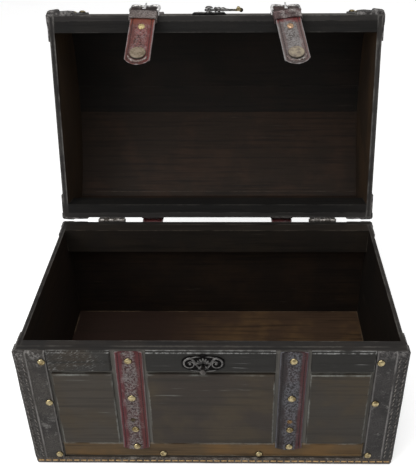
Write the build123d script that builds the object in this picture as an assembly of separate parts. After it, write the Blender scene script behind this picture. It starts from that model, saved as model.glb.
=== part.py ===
from build123d import *
from math import asin, atan, cos, degrees, radians, sin, sqrt
import os

os.makedirs("parts", exist_ok=True)

# A wooden treasure chest with a vaulted lid, modelled closed and then opened to its stop.
# Millimetres. X runs along the front, Y from front to back, Z up from the middle of the foot.

# Whole chest
chest_width = 290.0       # over the leather on the ends
chest_depth = 181.0       # front panels to back board
base_height = 120.9
lid_height = 86.0         # rim to crown
lid_shoulder = 63.2       # rim to where the vault springs from the front and back
lid_overhang = 1.3        # the lid's front board stands this far past the base
open_angle = 104.3        # degrees, from closed to the open stop
rim_gap = 0.4             # between base and closed lid

# Boards, leather and cladding
board = 4.5
side_board = 3.3
vault_board = 4.0
cladding = 3.0            # raised panels and rails on the front
arris = 0.8               # eased edge of the cladding
stave_gap = 0.3
ridge_shares = (0.48, 0.625)  # edges of the ridge board, from the back
base_skin = 1.2           # leather on the base
lid_skin = 1.5            # leather on the lid
band_width = 23.5         # corner bands and lid edging
band_round = 0.9
overrun = 5.0             # every cut runs this far past what it cuts

# Floor and foot
floor_top = 17.0
floor_board = 4.5
batten_width = 18.0
batten_end_gap = 19.5     # between an outer batten and the end board
binding_height = 7.0
binding_lift = 0.4        # the binding stays clear of what the chest stands on
bottom_rail_top = 22.4
bottom_rail_thick = 1.2

# Rails inside the rims
rail_height = 25.0
base_front_rim = 13.6
base_back_rim = 15.0
lid_front_rim = 14.5
lid_back_rim = 12.6
rail_round = 1.5

# Front cladding and straps
strap_share = 0.2103      # middle of each strap, along the width
strap_width = 21.3
strap_thick = 1.8
strap_end = 16.0
strap_end_round = 3.0
strap_jog = 2.0           # height of the step up onto the bottom rail
channel_width = 26.2      # between the panels, where a strap runs
panel_side_gap = 2.3      # to the corner bands
panel_foot_gap = 1.6      # to the bottom rail
panel_top_gap = 3.0       # to the top rail
top_rail_height = 18.9
rail_side_gap = 0.5       # to the corner bands
groove_width = 2.2
groove_depth = 1.1
rear_strap_top_gap = 3.0

# Nails and studs
nail_radius = 3.15
nail_height = 1.6
nail_sides = 8            # the heads are hammered in flats
nail_inset = 20.3         # from the end face to the nails of a corner band
nail_foot = 11.5          # lowest nails of a band above the foot
nail_drop = 8.9           # highest nails below the rim
band_nail_share = 0.581   # middle nails of a band, up the height
foot_nail_z = 10.4
foot_nail_shares = (-0.14, 0.1276)
strap_nail_foot = 21.0
strap_nail_share = 0.326
rear_nail_shares = (0.21, 0.58)
stud_radius = 3.4
stud_height = 1.6
lid_nail_shares = (0.174, 0.76)
vault_nail_shares = (-0.6, 0.0, 0.6)
vault_strap_nail_shares = (-0.75, -0.25, 0.25, 0.75)

# Hinges
hinge_share = 0.3424      # middle of each hinge, along the width
hinge_width = 24.0
hinge_offset = 2.78       # pin to the back faces
knuckle_radius = 2.45
knuckle_count = 5
knuckle_gap = 0.35
pin_radius = 1.15
pin_fit = 0.06
pin_head_radius = 1.7
pin_head = 0.8
leaf_thick = 1.0
leaf_height = 17.0
leaf_round = 3.0
swing_clearance = 0.33

# Buckles and prongs
bar_standoff = 4.2        # bar to the lid's front board
bar_rise = 0.5            # bar above the lid's rim
bar_radius = 1.2
frame_width = 25.8
frame_height = 17.5
frame_thick = 2.4
frame_side = 1.75
frame_top_bar = 3.0
frame_drop = 1.8          # lugs below the bar
frame_corner = 3.0
lobe_radius = 2.3
buckle_tilt = 9.0         # degrees
foot_radius = 1.0
prong_fit = 0.08
prong_ring_radius = 2.1
prong_width = 2.8
prong_length = 18.0
prong_root_radius = 1.0
prong_tip_radius = 0.65
prong_rest_gap = 0.15

# Strap tails
tail_width = 21.7
ply = 1.5
tail_thick = 2.4
fold_fit = 0.1
fold_merge = 9.0          # where the two plies of the fold meet
fold_slot_gap = 0.6
fold_slot_depth = 2.6
flex_along = 24.0         # bar to the line where the tail bends
flex_gap = 0.3
tail_length = 62.2        # bar to tip
tip_rise = 5.0
tail_droop = 45.0         # degrees inwards when the lid stands open
tail_lean = 3.5           # degrees inwards when the lid is shut
right_slant = 8.0         # degrees that the right tail is bent sideways
magnet_along = 48.2
magnet_radius = 7.35
magnet_rise = 1.0
magnet_sides = 20
magnet_face_radius = 5.5
magnet_face = 0.35
keeper_along = 5.0
keeper_length = 6.6
keeper_wall = 1.2
keeper_inner_half = 2.4
keeper_side_gap = 0.15

# Lock plate, catch, latch plate and hook
lock_x = -5.5
lock_width = 32.0
lock_height = 17.0
lock_top_gap = 0.9
plate_thick = 1.2
relief = 0.7
eye_share = 0.38          # radius of a scroll's eye, of the plate's height
scroll_eye_radius = 1.6
scroll_sides = 16         # the curves of the small castings are cut in flats
small_sides = 12
latch_plate_width = 30.0
latch_plate_height = 15.0
latch_plate_rise = 1.5
pivot_rise = 8.0          # latch pivot above the lid's rim
pivot_radius = 1.4
pivot_fit = 0.1
pivot_head_radius = 3.0
pivot_head = 1.0
hook_standoff = 3.1       # lid's front board to the hook's inner face
hook_thick = 1.8
hook_eye_radius = 3.9
hook_arm = 3.6
hook_reach = 20.8         # pivot to catch pin
hook_palm_radius = 4.0
hook_tip_reach = 28.0
hook_curl_radius = 1.7
hook_curl_length = 6.5
catch_radius = 1.5
catch_fit = 0.45
catch_head_radius = 2.5
catch_head = 1.0
head_gap = 0.3

# Places worked out from the sizes
front_face = -chest_depth / 2
back_face = chest_depth / 2
front_board_face = front_face + cladding
front_board_back = front_board_face + board
back_board_front = back_face - board
end_face = chest_width / 2
side_board_face = end_face - base_skin
side_board_back = side_board_face - side_board
band_edge = end_face - band_width
panel_edge = band_edge - panel_side_gap
top_rail_edge = band_edge - rail_side_gap
top_rail_bottom = base_height - top_rail_height
panel_bottom = bottom_rail_top + panel_foot_gap
panel_top = top_rail_bottom - panel_top_gap
batten_inset = side_board_back - batten_end_gap - batten_width / 2
strap_x = chest_width * strap_share
hinge_x = chest_width * hinge_share
lid_front = front_face - lid_overhang
lid_rim = base_height + rim_gap
lid_half = side_board_face + arris
lid_end_back = lid_half - board
hinge_y = back_face + hinge_offset
hinge_z = base_height
hinge_axis = Axis((0, hinge_y, hinge_z), (1, 0, 0))
vault_middle = (lid_front + back_face) / 2
vault_half = (back_face - lid_front) / 2
vault_rise = lid_height - lid_shoulder
vault_radius = (vault_half**2 + vault_rise**2) / (2 * vault_rise)
vault_centre = lid_rim + lid_height - vault_radius
ridge_back = back_face - chest_depth * ridge_shares[0]
ridge_front = back_face - chest_depth * ridge_shares[1]
bar_y = lid_front - bar_standoff
bar_z = lid_rim + bar_rise
fold_inner = bar_radius + fold_fit
fold_outer = fold_inner + ply
lid_strap_face = lid_front - lid_skin
pivot_x = lock_x
pivot_z = lid_rim + pivot_rise
hook_back = lid_front - hook_standoff
hook_front = hook_back - hook_thick
catch_z = pivot_z - hook_reach
stud_z = bar_z - magnet_along * cos(radians(tail_lean))


def plank(x, y, z):
    """A straight board between the two values of x, of y and of z."""
    size = (x[1] - x[0], y[1] - y[0], z[1] - z[0])
    centre = (sum(x) / 2, sum(y) / 2, sum(z) / 2)
    return Pos(*centre) * Box(*size)


def rod(radius, length, axis):
    """A round bar centred on the origin, along X or Y."""
    turn = Rot(0, 90, 0) if axis == "X" else Rot(90, 0, 0)
    return turn * Cylinder(radius, length)


def faceted_rod(radius, length, axis, sides):
    """As rod, but cut in flats like a small casting."""
    turn = Rot(0, 90, 0) if axis == "X" else Rot(90, 0, 0)
    return turn * extrude(RegularPolygon(radius, sides), length / 2, both=True)


def save(node, *solids):
    """Write one piece, or one group of like pieces, to its own file."""
    shape = solids[0] if len(solids) == 1 else Compound(children=list(solids))
    export_step(shape, f"parts/{node}.step")


def opened(shape):
    """Turn a piece of the closed lid to where it stands when the lid is open."""
    return shape.rotate(hinge_axis, -open_angle)


# Base boards

def base_walls():
    z = (0, base_height)
    inner_y = (front_board_back, back_board_front)
    return {
        "base_front_board": plank((-side_board_face, side_board_face), (front_board_face, front_board_back), z),
        "base_back_board": plank((-side_board_face, side_board_face), (back_board_front, back_face), z),
        "base_left_board": grooved_side(plank((-side_board_face, -side_board_back), inner_y, z), -1),
        "base_right_board": grooved_side(plank((side_board_back, side_board_face), inner_y, z), 1),
    }


def grooved_side(shape, side):
    """Two V grooves carry the lines of the front rails round the end."""
    for z in (bottom_rail_top, top_rail_bottom):
        groove = Plane.XZ * make_face(Polyline(
            (side * (side_board_face - groove_depth), z),
            (side * (side_board_face + overrun), z + groove_width / 2 * (1 + overrun / groove_depth)),
            (side * (side_board_face + overrun), z - groove_width / 2 * (1 + overrun / groove_depth)),
            close=True))
        shape -= extrude(groove, chest_depth, both=True)
    return shape


def base_floor():
    return plank((-side_board_back, side_board_back), (front_board_back, back_board_front),
                 (floor_top - floor_board, floor_top))


def floor_batten(x):
    """A bearer under the floor, from the front wall to the back wall."""
    batten = plank((x - batten_width / 2, x + batten_width / 2), (front_board_back, back_board_front),
                   (0, floor_top - floor_board))
    lower = batten.edges().filter_by(Axis.Y).group_by(Axis.Z)[0]
    return chamfer(lower, arris)


def rim_rail(half_length, y, z, rounded_high):
    """A thick rail inside a rim, its free lower or upper inner edge rounded."""
    rail = plank((-half_length, half_length), y, z)
    inner = rail.edges().filter_by(Axis.X).group_by(Axis.Z)[-1 if rounded_high else 0]
    toward_middle = inner.sort_by(lambda edge: abs(edge.center().Y))[0]
    return fillet(toward_middle, rail_round)


# Front cladding

def cladding_piece(x, z, thick):
    """A raised panel or rail on the front board, its outer edges eased."""
    piece = plank(x, (front_board_face - thick, front_board_face), z)
    outer = piece.faces().sort_by(Axis.Y)[0]
    return chamfer(outer.edges(), arris)


def cladding_spans(edge):
    """The three lengths between the corner bands and the strap channels."""
    inner = strap_x - channel_width / 2
    outer = strap_x + channel_width / 2
    return ((-edge, -outer), (-inner, inner), (outer, edge))


def top_rails():
    return [cladding_piece(x, (top_rail_bottom, base_height), cladding) for x in cladding_spans(top_rail_edge)]


def bottom_rail():
    return cladding_piece((-top_rail_edge, top_rail_edge), (binding_height, bottom_rail_top), bottom_rail_thick)


# Leather on the base

def corner_band(side, front):
    """An angle of leather round a corner, packed out level with the panels on the front."""
    thick = cladding if front else base_skin
    face_y = front_board_face if front else back_face
    out = -1 if front else 1
    angle = Plane.XY * make_face(Polyline(
        (side * band_edge, face_y),
        (side * side_board_face, face_y),
        (side * side_board_face, face_y + out * (thick - band_width)),
        (side * end_face, face_y + out * (thick - band_width)),
        (side * end_face, face_y + out * thick),
        (side * band_edge, face_y + out * thick),
        close=True))
    corner = angle.vertices().sort_by_distance((side * end_face, face_y + out * thick))[0]
    return Pos(0, 0, binding_height) * extrude(fillet(corner, band_round), base_height - binding_height)


def foot_binding():
    """The strip of leather that wraps the foot on all four sides."""
    outside_y = (front_face, back_face + base_skin)
    middle_y = sum(outside_y) / 2
    outside = Pos(0, middle_y) * RectangleRounded(chest_width, outside_y[1] - outside_y[0], band_round)
    walls = Pos(0, (front_board_face + back_face) / 2) * Rectangle(
        2 * side_board_face, back_face - front_board_face)
    return Pos(0, 0, binding_lift) * extrude(outside - walls, binding_height - binding_lift)


def front_strap(side):
    """A strap down the front that steps out over the bottom rail near its end."""
    rail_y = front_board_face - bottom_rail_thick
    step_z = bottom_rail_top + strap_jog
    section = Plane.YZ * make_face(Polyline(
        (front_board_face, base_height),
        (front_board_face, step_z),
        (rail_y, bottom_rail_top),
        (rail_y, strap_end),
        (rail_y - strap_thick, strap_end),
        (rail_y - strap_thick, bottom_rail_top),
        (front_board_face - strap_thick, step_z),
        (front_board_face - strap_thick, base_height),
        close=True))
    strap = Pos(side * strap_x, 0, 0) * extrude(section, strap_width / 2, both=True)
    ends = strap.edges().filter_by(Axis.Y).group_by(Axis.Z)[0]
    return fillet(ends, strap_end_round)


def rear_strap(side):
    x = (side * strap_x - strap_width / 2, side * strap_x + strap_width / 2)
    strap = plank(x, (back_face, back_face + lid_skin), (strap_end, base_height - rear_strap_top_gap))
    ends = strap.edges().filter_by(Axis.Y).group_by(Axis.Z)[0]
    return fillet(ends, strap_end_round)


# Nails and studs

def polygon(radius, z, sides):
    """The corners of a regular polygon at height z."""
    return [(radius * cos(radians(360 * k / sides)), radius * sin(radians(360 * k / sides)), z)
            for k in range(sides)]


def dome(radius, height, sides):
    """A domed head of flats that stands on the origin and points up Z."""
    ring_shares = ((1, 0), (0.5, 1))
    rings = [polygon(radius * reach, height * rise, sides) for reach, rise in ring_shares]
    corners = [rings[0][::-1], rings[-1]]
    for low, high in zip(rings, rings[1:]):
        for k in range(sides):
            after = (k + 1) % sides
            corners.append([low[k], low[after], high[after], high[k]])
    return Solid(Shell([Face(Wire.make_polygon(points)) for points in corners]))


FRONT_TURN = Rot(90, 0, 0)
BACK_TURN = Rot(-90, 0, 0)


def base_nails():
    nail = dome(nail_radius, nail_height, nail_sides)
    front_x = end_face - nail_inset
    top_z = base_height - nail_drop
    nails = []
    for side in (-1, 1):
        for z in (nail_foot, base_height * band_nail_share, top_z):
            nails.append(Pos(side * front_x, front_face, z) * FRONT_TURN * nail)
            nails.append(Pos(side * front_x, back_face + base_skin, z) * BACK_TURN * nail)
            for y in (front_face + nail_inset, back_face + base_skin - nail_inset):
                nails.append(Pos(side * end_face, y, z) * Rot(0, side * 90, 0) * nail)
        for z in (strap_nail_foot, base_height * strap_nail_share, top_z):
            over_rail = bottom_rail_thick if z < bottom_rail_top else 0
            face = front_board_face - strap_thick - over_rail
            nails.append(Pos(side * strap_x, face, z) * FRONT_TURN * nail)
        for share in rear_nail_shares:
            nails.append(Pos(side * strap_x, back_face + lid_skin, base_height * share) * BACK_TURN * nail)
    for share in foot_nail_shares:
        foot = Pos(chest_width * share, front_board_face - bottom_rail_thick, foot_nail_z)
        nails.append(foot * FRONT_TURN * nail)
    return nails


def strap_studs():
    """The brass studs that the magnets of the strap tails land on."""
    stud = dome(stud_radius, stud_height, nail_sides)
    return [Pos(side * strap_x, front_board_face - strap_thick, stud_z) * FRONT_TURN * stud for side in (-1, 1)]


# Hinges

def knuckles(first):
    """Every second knuckle along the pin, starting with the first or the second."""
    pitch = hinge_width / knuckle_count
    length = pitch - knuckle_gap
    places = [pitch * (index + 1 / 2) - hinge_width / 2 for index in range(first, knuckle_count, 2)]
    return [(x, length) for x in places]


def hinge_leaf(side, first, up):
    """A leaf with its rolled knuckles, cut back where the other leaf's knuckles turn."""
    x = side * hinge_x
    edge = hinge_z + up * swing_clearance
    far = hinge_z + up * leaf_height
    leaf = plank((x - hinge_width / 2, x + hinge_width / 2), (back_face, back_face + leaf_thick),
                 (min(edge, far), max(edge, far)))
    corners = leaf.edges().filter_by(Axis.Y).group_by(Axis.Z)[-1 if up > 0 else 0]
    leaf = fillet(corners, leaf_round)
    for place, length in knuckles(1 - first):
        sweep = rod(knuckle_radius + swing_clearance, length + 2 * knuckle_gap, "X")
        leaf -= Pos(x + place, hinge_y, hinge_z) * sweep
    for place, length in knuckles(first):
        leaf += Pos(x + place, hinge_y, hinge_z) * faceted_rod(knuckle_radius, length, "X", small_sides)
    return leaf - Pos(x, hinge_y, hinge_z) * rod(pin_radius + pin_fit, hinge_width + overrun, "X")


def hinge_pin(side):
    pin = rod(pin_radius, hinge_width, "X")
    for end in (-1, 1):
        pin += Pos(end * (hinge_width + pin_head) / 2, 0, 0) * faceted_rod(pin_head_radius, pin_head, "X", small_sides)
    return Pos(side * hinge_x, hinge_y, hinge_z) * pin


# Lock plate and catch

def scroll_outline(width, height):
    """A generic scroll escutcheon: a bar with a round eye at each end and a lobe above and below."""
    lobe_share = 0.26
    bar_shares = (0.62, 0.66)
    eye = height * eye_share
    lobe = height * lobe_share
    outline = RectangleRounded(width * bar_shares[0], height * bar_shares[1], height * bar_shares[1] / 3)
    for end in (-1, 1):
        outline += Pos(end * (width / 2 - eye), 0) * RegularPolygon(eye, scroll_sides)
        outline += Pos(0, end * (height / 2 - lobe)) * RegularPolygon(lobe, scroll_sides)
    return outline


def scroll_plate(width, height):
    """The escutcheon lying on the XZ plane, facing the front, with raised scroll eyes and boss."""
    eye_x = width / 2 - height * eye_share
    plate = extrude(Plane.XZ * scroll_outline(width, height), plate_thick)
    ring = RegularPolygon(height / 4, scroll_sides) - RegularPolygon(scroll_eye_radius, scroll_sides)
    boss = RegularPolygon(height / 4, scroll_sides)
    raised = [Pos(-eye_x, 0) * ring, Pos(eye_x, 0) * ring, boss]
    for shape in raised:
        plate += extrude(Plane.XZ * shape, plate_thick + relief)
    return plate


def lock_plate():
    middle_z = base_height - lock_top_gap - lock_height / 2
    return Pos(lock_x, front_face, middle_z) * scroll_plate(lock_width, lock_height)


def catch_pin():
    """A headed pin on the lock plate; the hook slides in between its head and the plate."""
    foot = front_face - plate_thick - relief
    head_foot = hook_front - head_gap
    shank = Pos(0, (foot + head_foot) / 2, 0) * rod(catch_radius, foot - head_foot, "Y")
    head = Pos(0, head_foot - catch_head / 2, 0) * faceted_rod(catch_head_radius, catch_head, "Y", scroll_sides)
    return Pos(lock_x, 0, catch_z) * (shank + head)


# Lid shell

def vault_profile(wall_inset, vault_inset, foot):
    """The lid's cross-section, drawn inside its outer faces by the two insets and open to the foot."""
    half = vault_half - wall_inset
    radius = vault_radius - vault_inset
    spring = vault_centre + sqrt(radius**2 - half**2)
    front, back = vault_middle - half, vault_middle + half
    return Plane.YZ * make_face([
        Line((front, foot), (front, spring)),
        ThreePointArc((front, spring), (vault_middle, vault_centre + radius), (back, spring)),
        Line((back, spring), (back, foot)),
        Line((back, foot), (front, foot)),
    ])


def across(face, x0, x1):
    """Extrude a cross-section from x0 to x1."""
    return Pos(x0, 0, 0) * extrude(face, x1 - x0)


def lid_shell():
    outside = across(vault_profile(0, 0, lid_rim), -lid_end_back, lid_end_back)
    inside = across(vault_profile(board, vault_board, lid_rim - overrun), -lid_half, lid_half)
    return outside - inside


def lid_boards():
    """The shell parted into its front and back boards and the three boards of the vault."""
    shell = lid_shell()
    x = (-lid_half, lid_half)
    shoulder = lid_rim + lid_shoulder
    below = (lid_rim - overrun, shoulder)
    above = (shoulder, lid_rim + lid_height + overrun)
    joint = stave_gap / 2
    spans = {
        "lid_front_board": ((lid_front - overrun, vault_middle), below),
        "lid_back_board": ((vault_middle, back_face + overrun), below),
        "lid_front_stave": ((lid_front - overrun, ridge_front - joint), above),
        "lid_ridge_stave": ((ridge_front + joint, ridge_back - joint), above),
        "lid_back_stave": ((ridge_back + joint, back_face + overrun), above),
    }
    return {node: shell & plank(x, y, z) for node, (y, z) in spans.items()}


def lid_end(side):
    face = vault_profile(0, 0, lid_rim)
    return across(face, lid_end_back, lid_half) if side > 0 else across(face, -lid_half, -lid_end_back)


def lid_edging(side):
    """Leather of L section round one end of the lid, from rim to rim over the vault."""
    skin_face = lid_half + lid_skin
    start = skin_face - band_width
    inner = band_width - lid_skin
    edging = across(vault_profile(-lid_skin, -lid_skin, lid_rim), start, skin_face)
    edging -= across(vault_profile(0, 0, lid_rim - overrun), start - overrun, lid_half)
    edging -= across(vault_profile(inner, inner, lid_rim - overrun), start - overrun, skin_face + overrun)
    return edging if side > 0 else mirror(edging, Plane.YZ)


def lid_strap(side):
    """A strap over the vault, from above the buckle's bar to just above the back rim."""
    x = (side * strap_x - strap_width / 2, side * strap_x + strap_width / 2)
    strap = across(vault_profile(-lid_skin, -lid_skin, lid_rim), *x)
    strap -= across(vault_profile(0, 0, lid_rim - overrun), x[0] - overrun, x[1] + overrun)
    wide = (x[0] - overrun, x[1] + overrun)
    front_end = bar_z + fold_outer + ply
    strap -= plank(wide, (lid_front - overrun, vault_middle), (lid_rim - overrun, front_end))
    return strap - plank(wide, (vault_middle, back_face + overrun), (lid_rim - overrun, lid_rim + rear_strap_top_gap))


def lid_nails():
    """Nails on the edging's front, back and vault, and on the straps over the vault."""
    nail = dome(nail_radius, nail_height, nail_sides)
    nails = []
    skin_radius = vault_radius + lid_skin
    spring_angle = degrees(asin(vault_half / vault_radius))
    for side in (-1, 1):
        x = side * (lid_half + lid_skin - nail_inset)
        for share in lid_nail_shares:
            z = lid_rim + lid_shoulder * share
            nails.append(Pos(x, lid_front - lid_skin, z) * FRONT_TURN * nail)
            nails.append(Pos(x, back_face + lid_skin, z) * BACK_TURN * nail)
        rows = ((x, vault_nail_shares), (side * strap_x, vault_strap_nail_shares))
        for place, shares in rows:
            for share in shares:
                angle = spring_angle * share
                turn = Pos(place, vault_middle, vault_centre) * Rot(-angle, 0, 0)
                nails.append(turn * Pos(0, 0, skin_radius) * nail)
    return nails


# Buckles and prongs

def at_bar(side):
    return Pos(side * strap_x, bar_y, bar_z)


def buckle(side):
    """A cast frame with a round bar across its open lower side, on three short feet."""
    middle = frame_height / 2 - frame_drop
    outline = Pos(0, middle) * RectangleRounded(frame_width, frame_height, frame_corner)
    top = frame_height - frame_drop
    for x in (-frame_width / 2 + lobe_radius, 0, frame_width / 2 - lobe_radius):
        outline += Pos(x, top - lobe_radius / 2) * RegularPolygon(lobe_radius, small_sides)
    window_top = top - frame_top_bar
    window = Pos(0, (window_top - frame_drop - overrun) / 2) * Rectangle(
        frame_width - 2 * frame_side, window_top + frame_drop + overrun)
    frame = extrude(Plane.XZ * (outline - window), frame_thick / 2, both=True)
    frame += rod(bar_radius, frame_width - frame_side, "X")
    frame = frame.rotate(Axis.X, buckle_tilt)
    strap_y = lid_strap_face - bar_y
    board_y = lid_front - bar_y
    top_z = (top - frame_top_bar / 2) * cos(radians(buckle_tilt))
    foot_length = strap_y + 2 * foot_radius
    frame += Pos(0, strap_y / 2 - foot_radius, top_z) * faceted_rod(foot_radius, foot_length, "Y", small_sides)
    lug_x = (frame_width - frame_side) / 2
    for end in (-1, 1):
        lug = faceted_rod(frame_side / 2, board_y, "Y", small_sides)
        frame += Pos(end * lug_x, board_y / 2, bar_radius / 2) * lug
    return at_bar(side) * frame


def prong_angle():
    """The prong leans on the frame's top bar, in degrees from upright."""
    rest = frame_height - frame_drop - frame_top_bar / 2
    lift = frame_thick / 2 + prong_root_radius + prong_rest_gap
    return buckle_tilt + degrees(asin(lift / rest))


def prong(side):
    """A tapered tongue with a ring that turns on the bar."""
    bore = bar_radius + prong_fit
    start = (bore + prong_ring_radius) / 2
    length = prong_length - start
    taper = degrees(atan((prong_root_radius - prong_tip_radius) / length))
    tongue = Pos(0, 0, start) * extrude(RegularPolygon(prong_root_radius, small_sides), length, taper=taper)
    tongue += rod(prong_ring_radius, prong_width, "X")
    tongue -= rod(bore, prong_width + overrun, "X")
    return at_bar(side) * tongue.rotate(Axis.X, prong_angle())


# Strap tails

def drooped(side, shape):
    """Hang a tail piece, drawn straight down from the bar, at its droop on the lid."""
    return at_bar(side) * shape.rotate(Axis.X, tail_droop)


def tail_root(side):
    """The end of the strap folded round the bar, slotted in the middle for the prong."""
    end = flex_along - tail_thick / 2 - flex_gap
    outside = make_face([
        ThreePointArc((-fold_outer, 0), (0, fold_outer), (fold_outer, 0)),
        Line((fold_outer, 0), (ply, -fold_merge)),
        Line((ply, -fold_merge), (ply, -end)),
        Line((ply, -end), (-ply, -end)),
        Line((-ply, -end), (-ply, -fold_merge)),
        Line((-ply, -fold_merge), (-fold_outer, 0)),
    ])
    loop = make_face([
        ThreePointArc((-fold_inner, 0), (0, fold_inner), (fold_inner, 0)),
        Line((fold_inner, 0), (0, -fold_merge)),
        Line((0, -fold_merge), (-fold_inner, 0)),
    ])
    root = extrude(Plane.YZ * (outside - loop), tail_width / 2, both=True)
    slot = prong_width / 2 + fold_slot_gap
    root -= plank((-slot, slot), (-fold_outer - overrun, fold_outer + overrun),
                  (-fold_slot_depth, fold_outer + overrun))
    return drooped(side, root)


def tail_keeper(side):
    """The leather loop that holds the two plies of the fold together."""
    inside = (tail_width + 2 * keeper_side_gap, 2 * keeper_inner_half)
    outside = [size + 2 * keeper_wall for size in inside]
    ring = RectangleRounded(*outside, keeper_wall) - Rectangle(*inside)
    loop = Pos(0, 0, -keeper_along - keeper_length) * extrude(ring, keeper_length)
    return drooped(side, loop)


def tail_end(side):
    """The free end of a tail: a blade with an arched tip, and the magnet's round swelling."""
    half = tail_width / 2
    tip = tail_length - flex_along
    clip = tip - tip_rise
    blade_outline = make_face([
        Line((-half, ply), (half, ply)),
        Line((half, ply), (half, -clip)),
        ThreePointArc((half, -clip), (0, -tip), (-half, -clip)),
        Line((-half, -clip), (-half, ply)),
    ])
    blade = extrude(Plane.XZ * blade_outline, tail_thick / 2, both=True)
    magnet_z = flex_along - magnet_along
    swelling = Pos(0, -tail_thick / 2, magnet_z) * FRONT_TURN * dome(magnet_radius, magnet_rise, magnet_sides)
    face = Pos(0, (tail_thick + magnet_face) / 2, magnet_z) * faceted_rod(
        magnet_face_radius, magnet_face, "Y", magnet_sides)
    blade += [swelling, face]
    slant = right_slant if side > 0 else 0
    blade = blade.rotate(Axis.Y, -slant)
    blade -= plank((-tail_width, tail_width), (-overrun, overrun), (0, overrun + ply))
    blade += rod(tail_thick / 2, tail_width - tail_thick, "X")
    return drooped(side, Pos(0, 0, -flex_along) * blade)


# Latch on the lid

def latch_plate():
    """The lid's escutcheon with the headed stud that the hook turns on."""
    middle_z = lid_rim + latch_plate_rise + latch_plate_height / 2
    plate = Pos(0, lid_front, middle_z) * scroll_plate(latch_plate_width, latch_plate_height)
    head_foot = hook_front - head_gap
    stud = Pos(0, (lid_front + head_foot) / 2, pivot_z) * rod(pivot_radius, lid_front - head_foot, "Y")
    seat_end = hook_back + head_gap
    seat = Pos(0, (lid_front + seat_end) / 2, pivot_z) * faceted_rod(
        pivot_head_radius, lid_front - seat_end, "Y", scroll_sides)
    head = Pos(0, head_foot - pivot_head / 2, pivot_z) * faceted_rod(
        pivot_head_radius, pivot_head, "Y", scroll_sides)
    return Pos(pivot_x, 0, 0) * (plate + stud + seat + head)


def latch_hook():
    """The hook, drawn lying to the right as it rests, with its notch open below."""
    arm_start = hook_arm / 2
    palm = Pos(hook_reach, 0) * Circle(hook_palm_radius)
    arm = make_face([
        Line((0, arm_start), (hook_reach, arm_start)),
        Line((hook_reach, arm_start), (hook_tip_reach, arm_start)),
        Line((hook_tip_reach, arm_start), (hook_tip_reach, -arm_start)),
        Line((hook_tip_reach, -arm_start), (0, -arm_start)),
        Line((0, -arm_start), (0, arm_start)),
    ])
    blank = Circle(hook_eye_radius) + arm + palm
    throat = catch_radius + catch_fit
    notch = Pos(hook_reach, 0) * Circle(throat)
    notch += Pos(hook_reach, -overrun / 2) * Rectangle(2 * throat, overrun)
    blank = blank - notch - Circle(pivot_radius + pivot_fit)
    hook = extrude(Plane.XZ * blank, hook_thick)
    curl = Pos(hook_tip_reach, -hook_thick / 2, 0) * extrude(
        RegularPolygon(hook_curl_radius, small_sides), hook_curl_length / 2, both=True)
    return Pos(pivot_x, hook_back, pivot_z) * (hook + curl)


for name, shape in base_walls().items():
    save(name, shape)
save("base_floor", base_floor())
for name, x in (("left", -batten_inset), ("centre", 0), ("right", batten_inset)):
    save(f"floor_batten_{name}", floor_batten(x))

rail_zs = (base_height - rail_height, base_height)
save("base_front_inner_rail",
     rim_rail(side_board_back, (front_board_back, front_face + base_front_rim), rail_zs, False))
save("base_back_inner_rail",
     rim_rail(side_board_back, (back_face - base_back_rim, back_board_front), rail_zs, False))

save("front_top_rails", *top_rails())
for name, x in zip(("left", "centre", "right"), cladding_spans(panel_edge)):
    save(f"front_panel_{name}", cladding_piece(x, (panel_bottom, panel_top), cladding))
save("front_bottom_rail", bottom_rail())
save("foot_binding", foot_binding())
save("base_nails", *base_nails())
save("strap_studs", *strap_studs())
save("lock_plate", lock_plate())
save("catch_pin", catch_pin())
save("hinge_pins", hinge_pin(-1), hinge_pin(1))

for node, shape in lid_boards().items():
    save(node, opened(shape))
lid_rail_zs = (lid_rim, lid_rim + rail_height)
save("lid_front_rail",
     opened(rim_rail(lid_end_back, (lid_front + board, lid_front + lid_front_rim), lid_rail_zs, True)))
save("lid_back_rail",
     opened(rim_rail(lid_end_back, (back_face - lid_back_rim, back_board_front), lid_rail_zs, True)))
save("lid_nails", *[opened(nail) for nail in lid_nails()])
save("latch_plate", opened(latch_plate()))
save("latch_hook", opened(latch_hook()))

for name, side in (("left", -1), ("right", 1)):
    save(f"corner_band_front_{name}", corner_band(side, True))
    save(f"corner_band_back_{name}", corner_band(side, False))
    save(f"front_strap_{name}", front_strap(side))
    save(f"rear_strap_{name}", rear_strap(side))
    save(f"hinge_base_leaf_{name}", hinge_leaf(side, 0, -1))
    save(f"hinge_lid_leaf_{name}", opened(hinge_leaf(side, 1, 1)))
    save(f"lid_end_{name}", opened(lid_end(side)))
    save(f"lid_edging_{name}", opened(lid_edging(side)))
    save(f"lid_strap_{name}", opened(lid_strap(side)))
    save(f"buckle_{name}", opened(buckle(side)))
    save(f"prong_{name}", opened(prong(side)))
    save(f"tail_root_{name}", opened(tail_root(side)))
    save(f"tail_keeper_{name}", opened(tail_keeper(side)))
    save(f"tail_end_{name}", opened(tail_end(side)))
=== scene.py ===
import math

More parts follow.
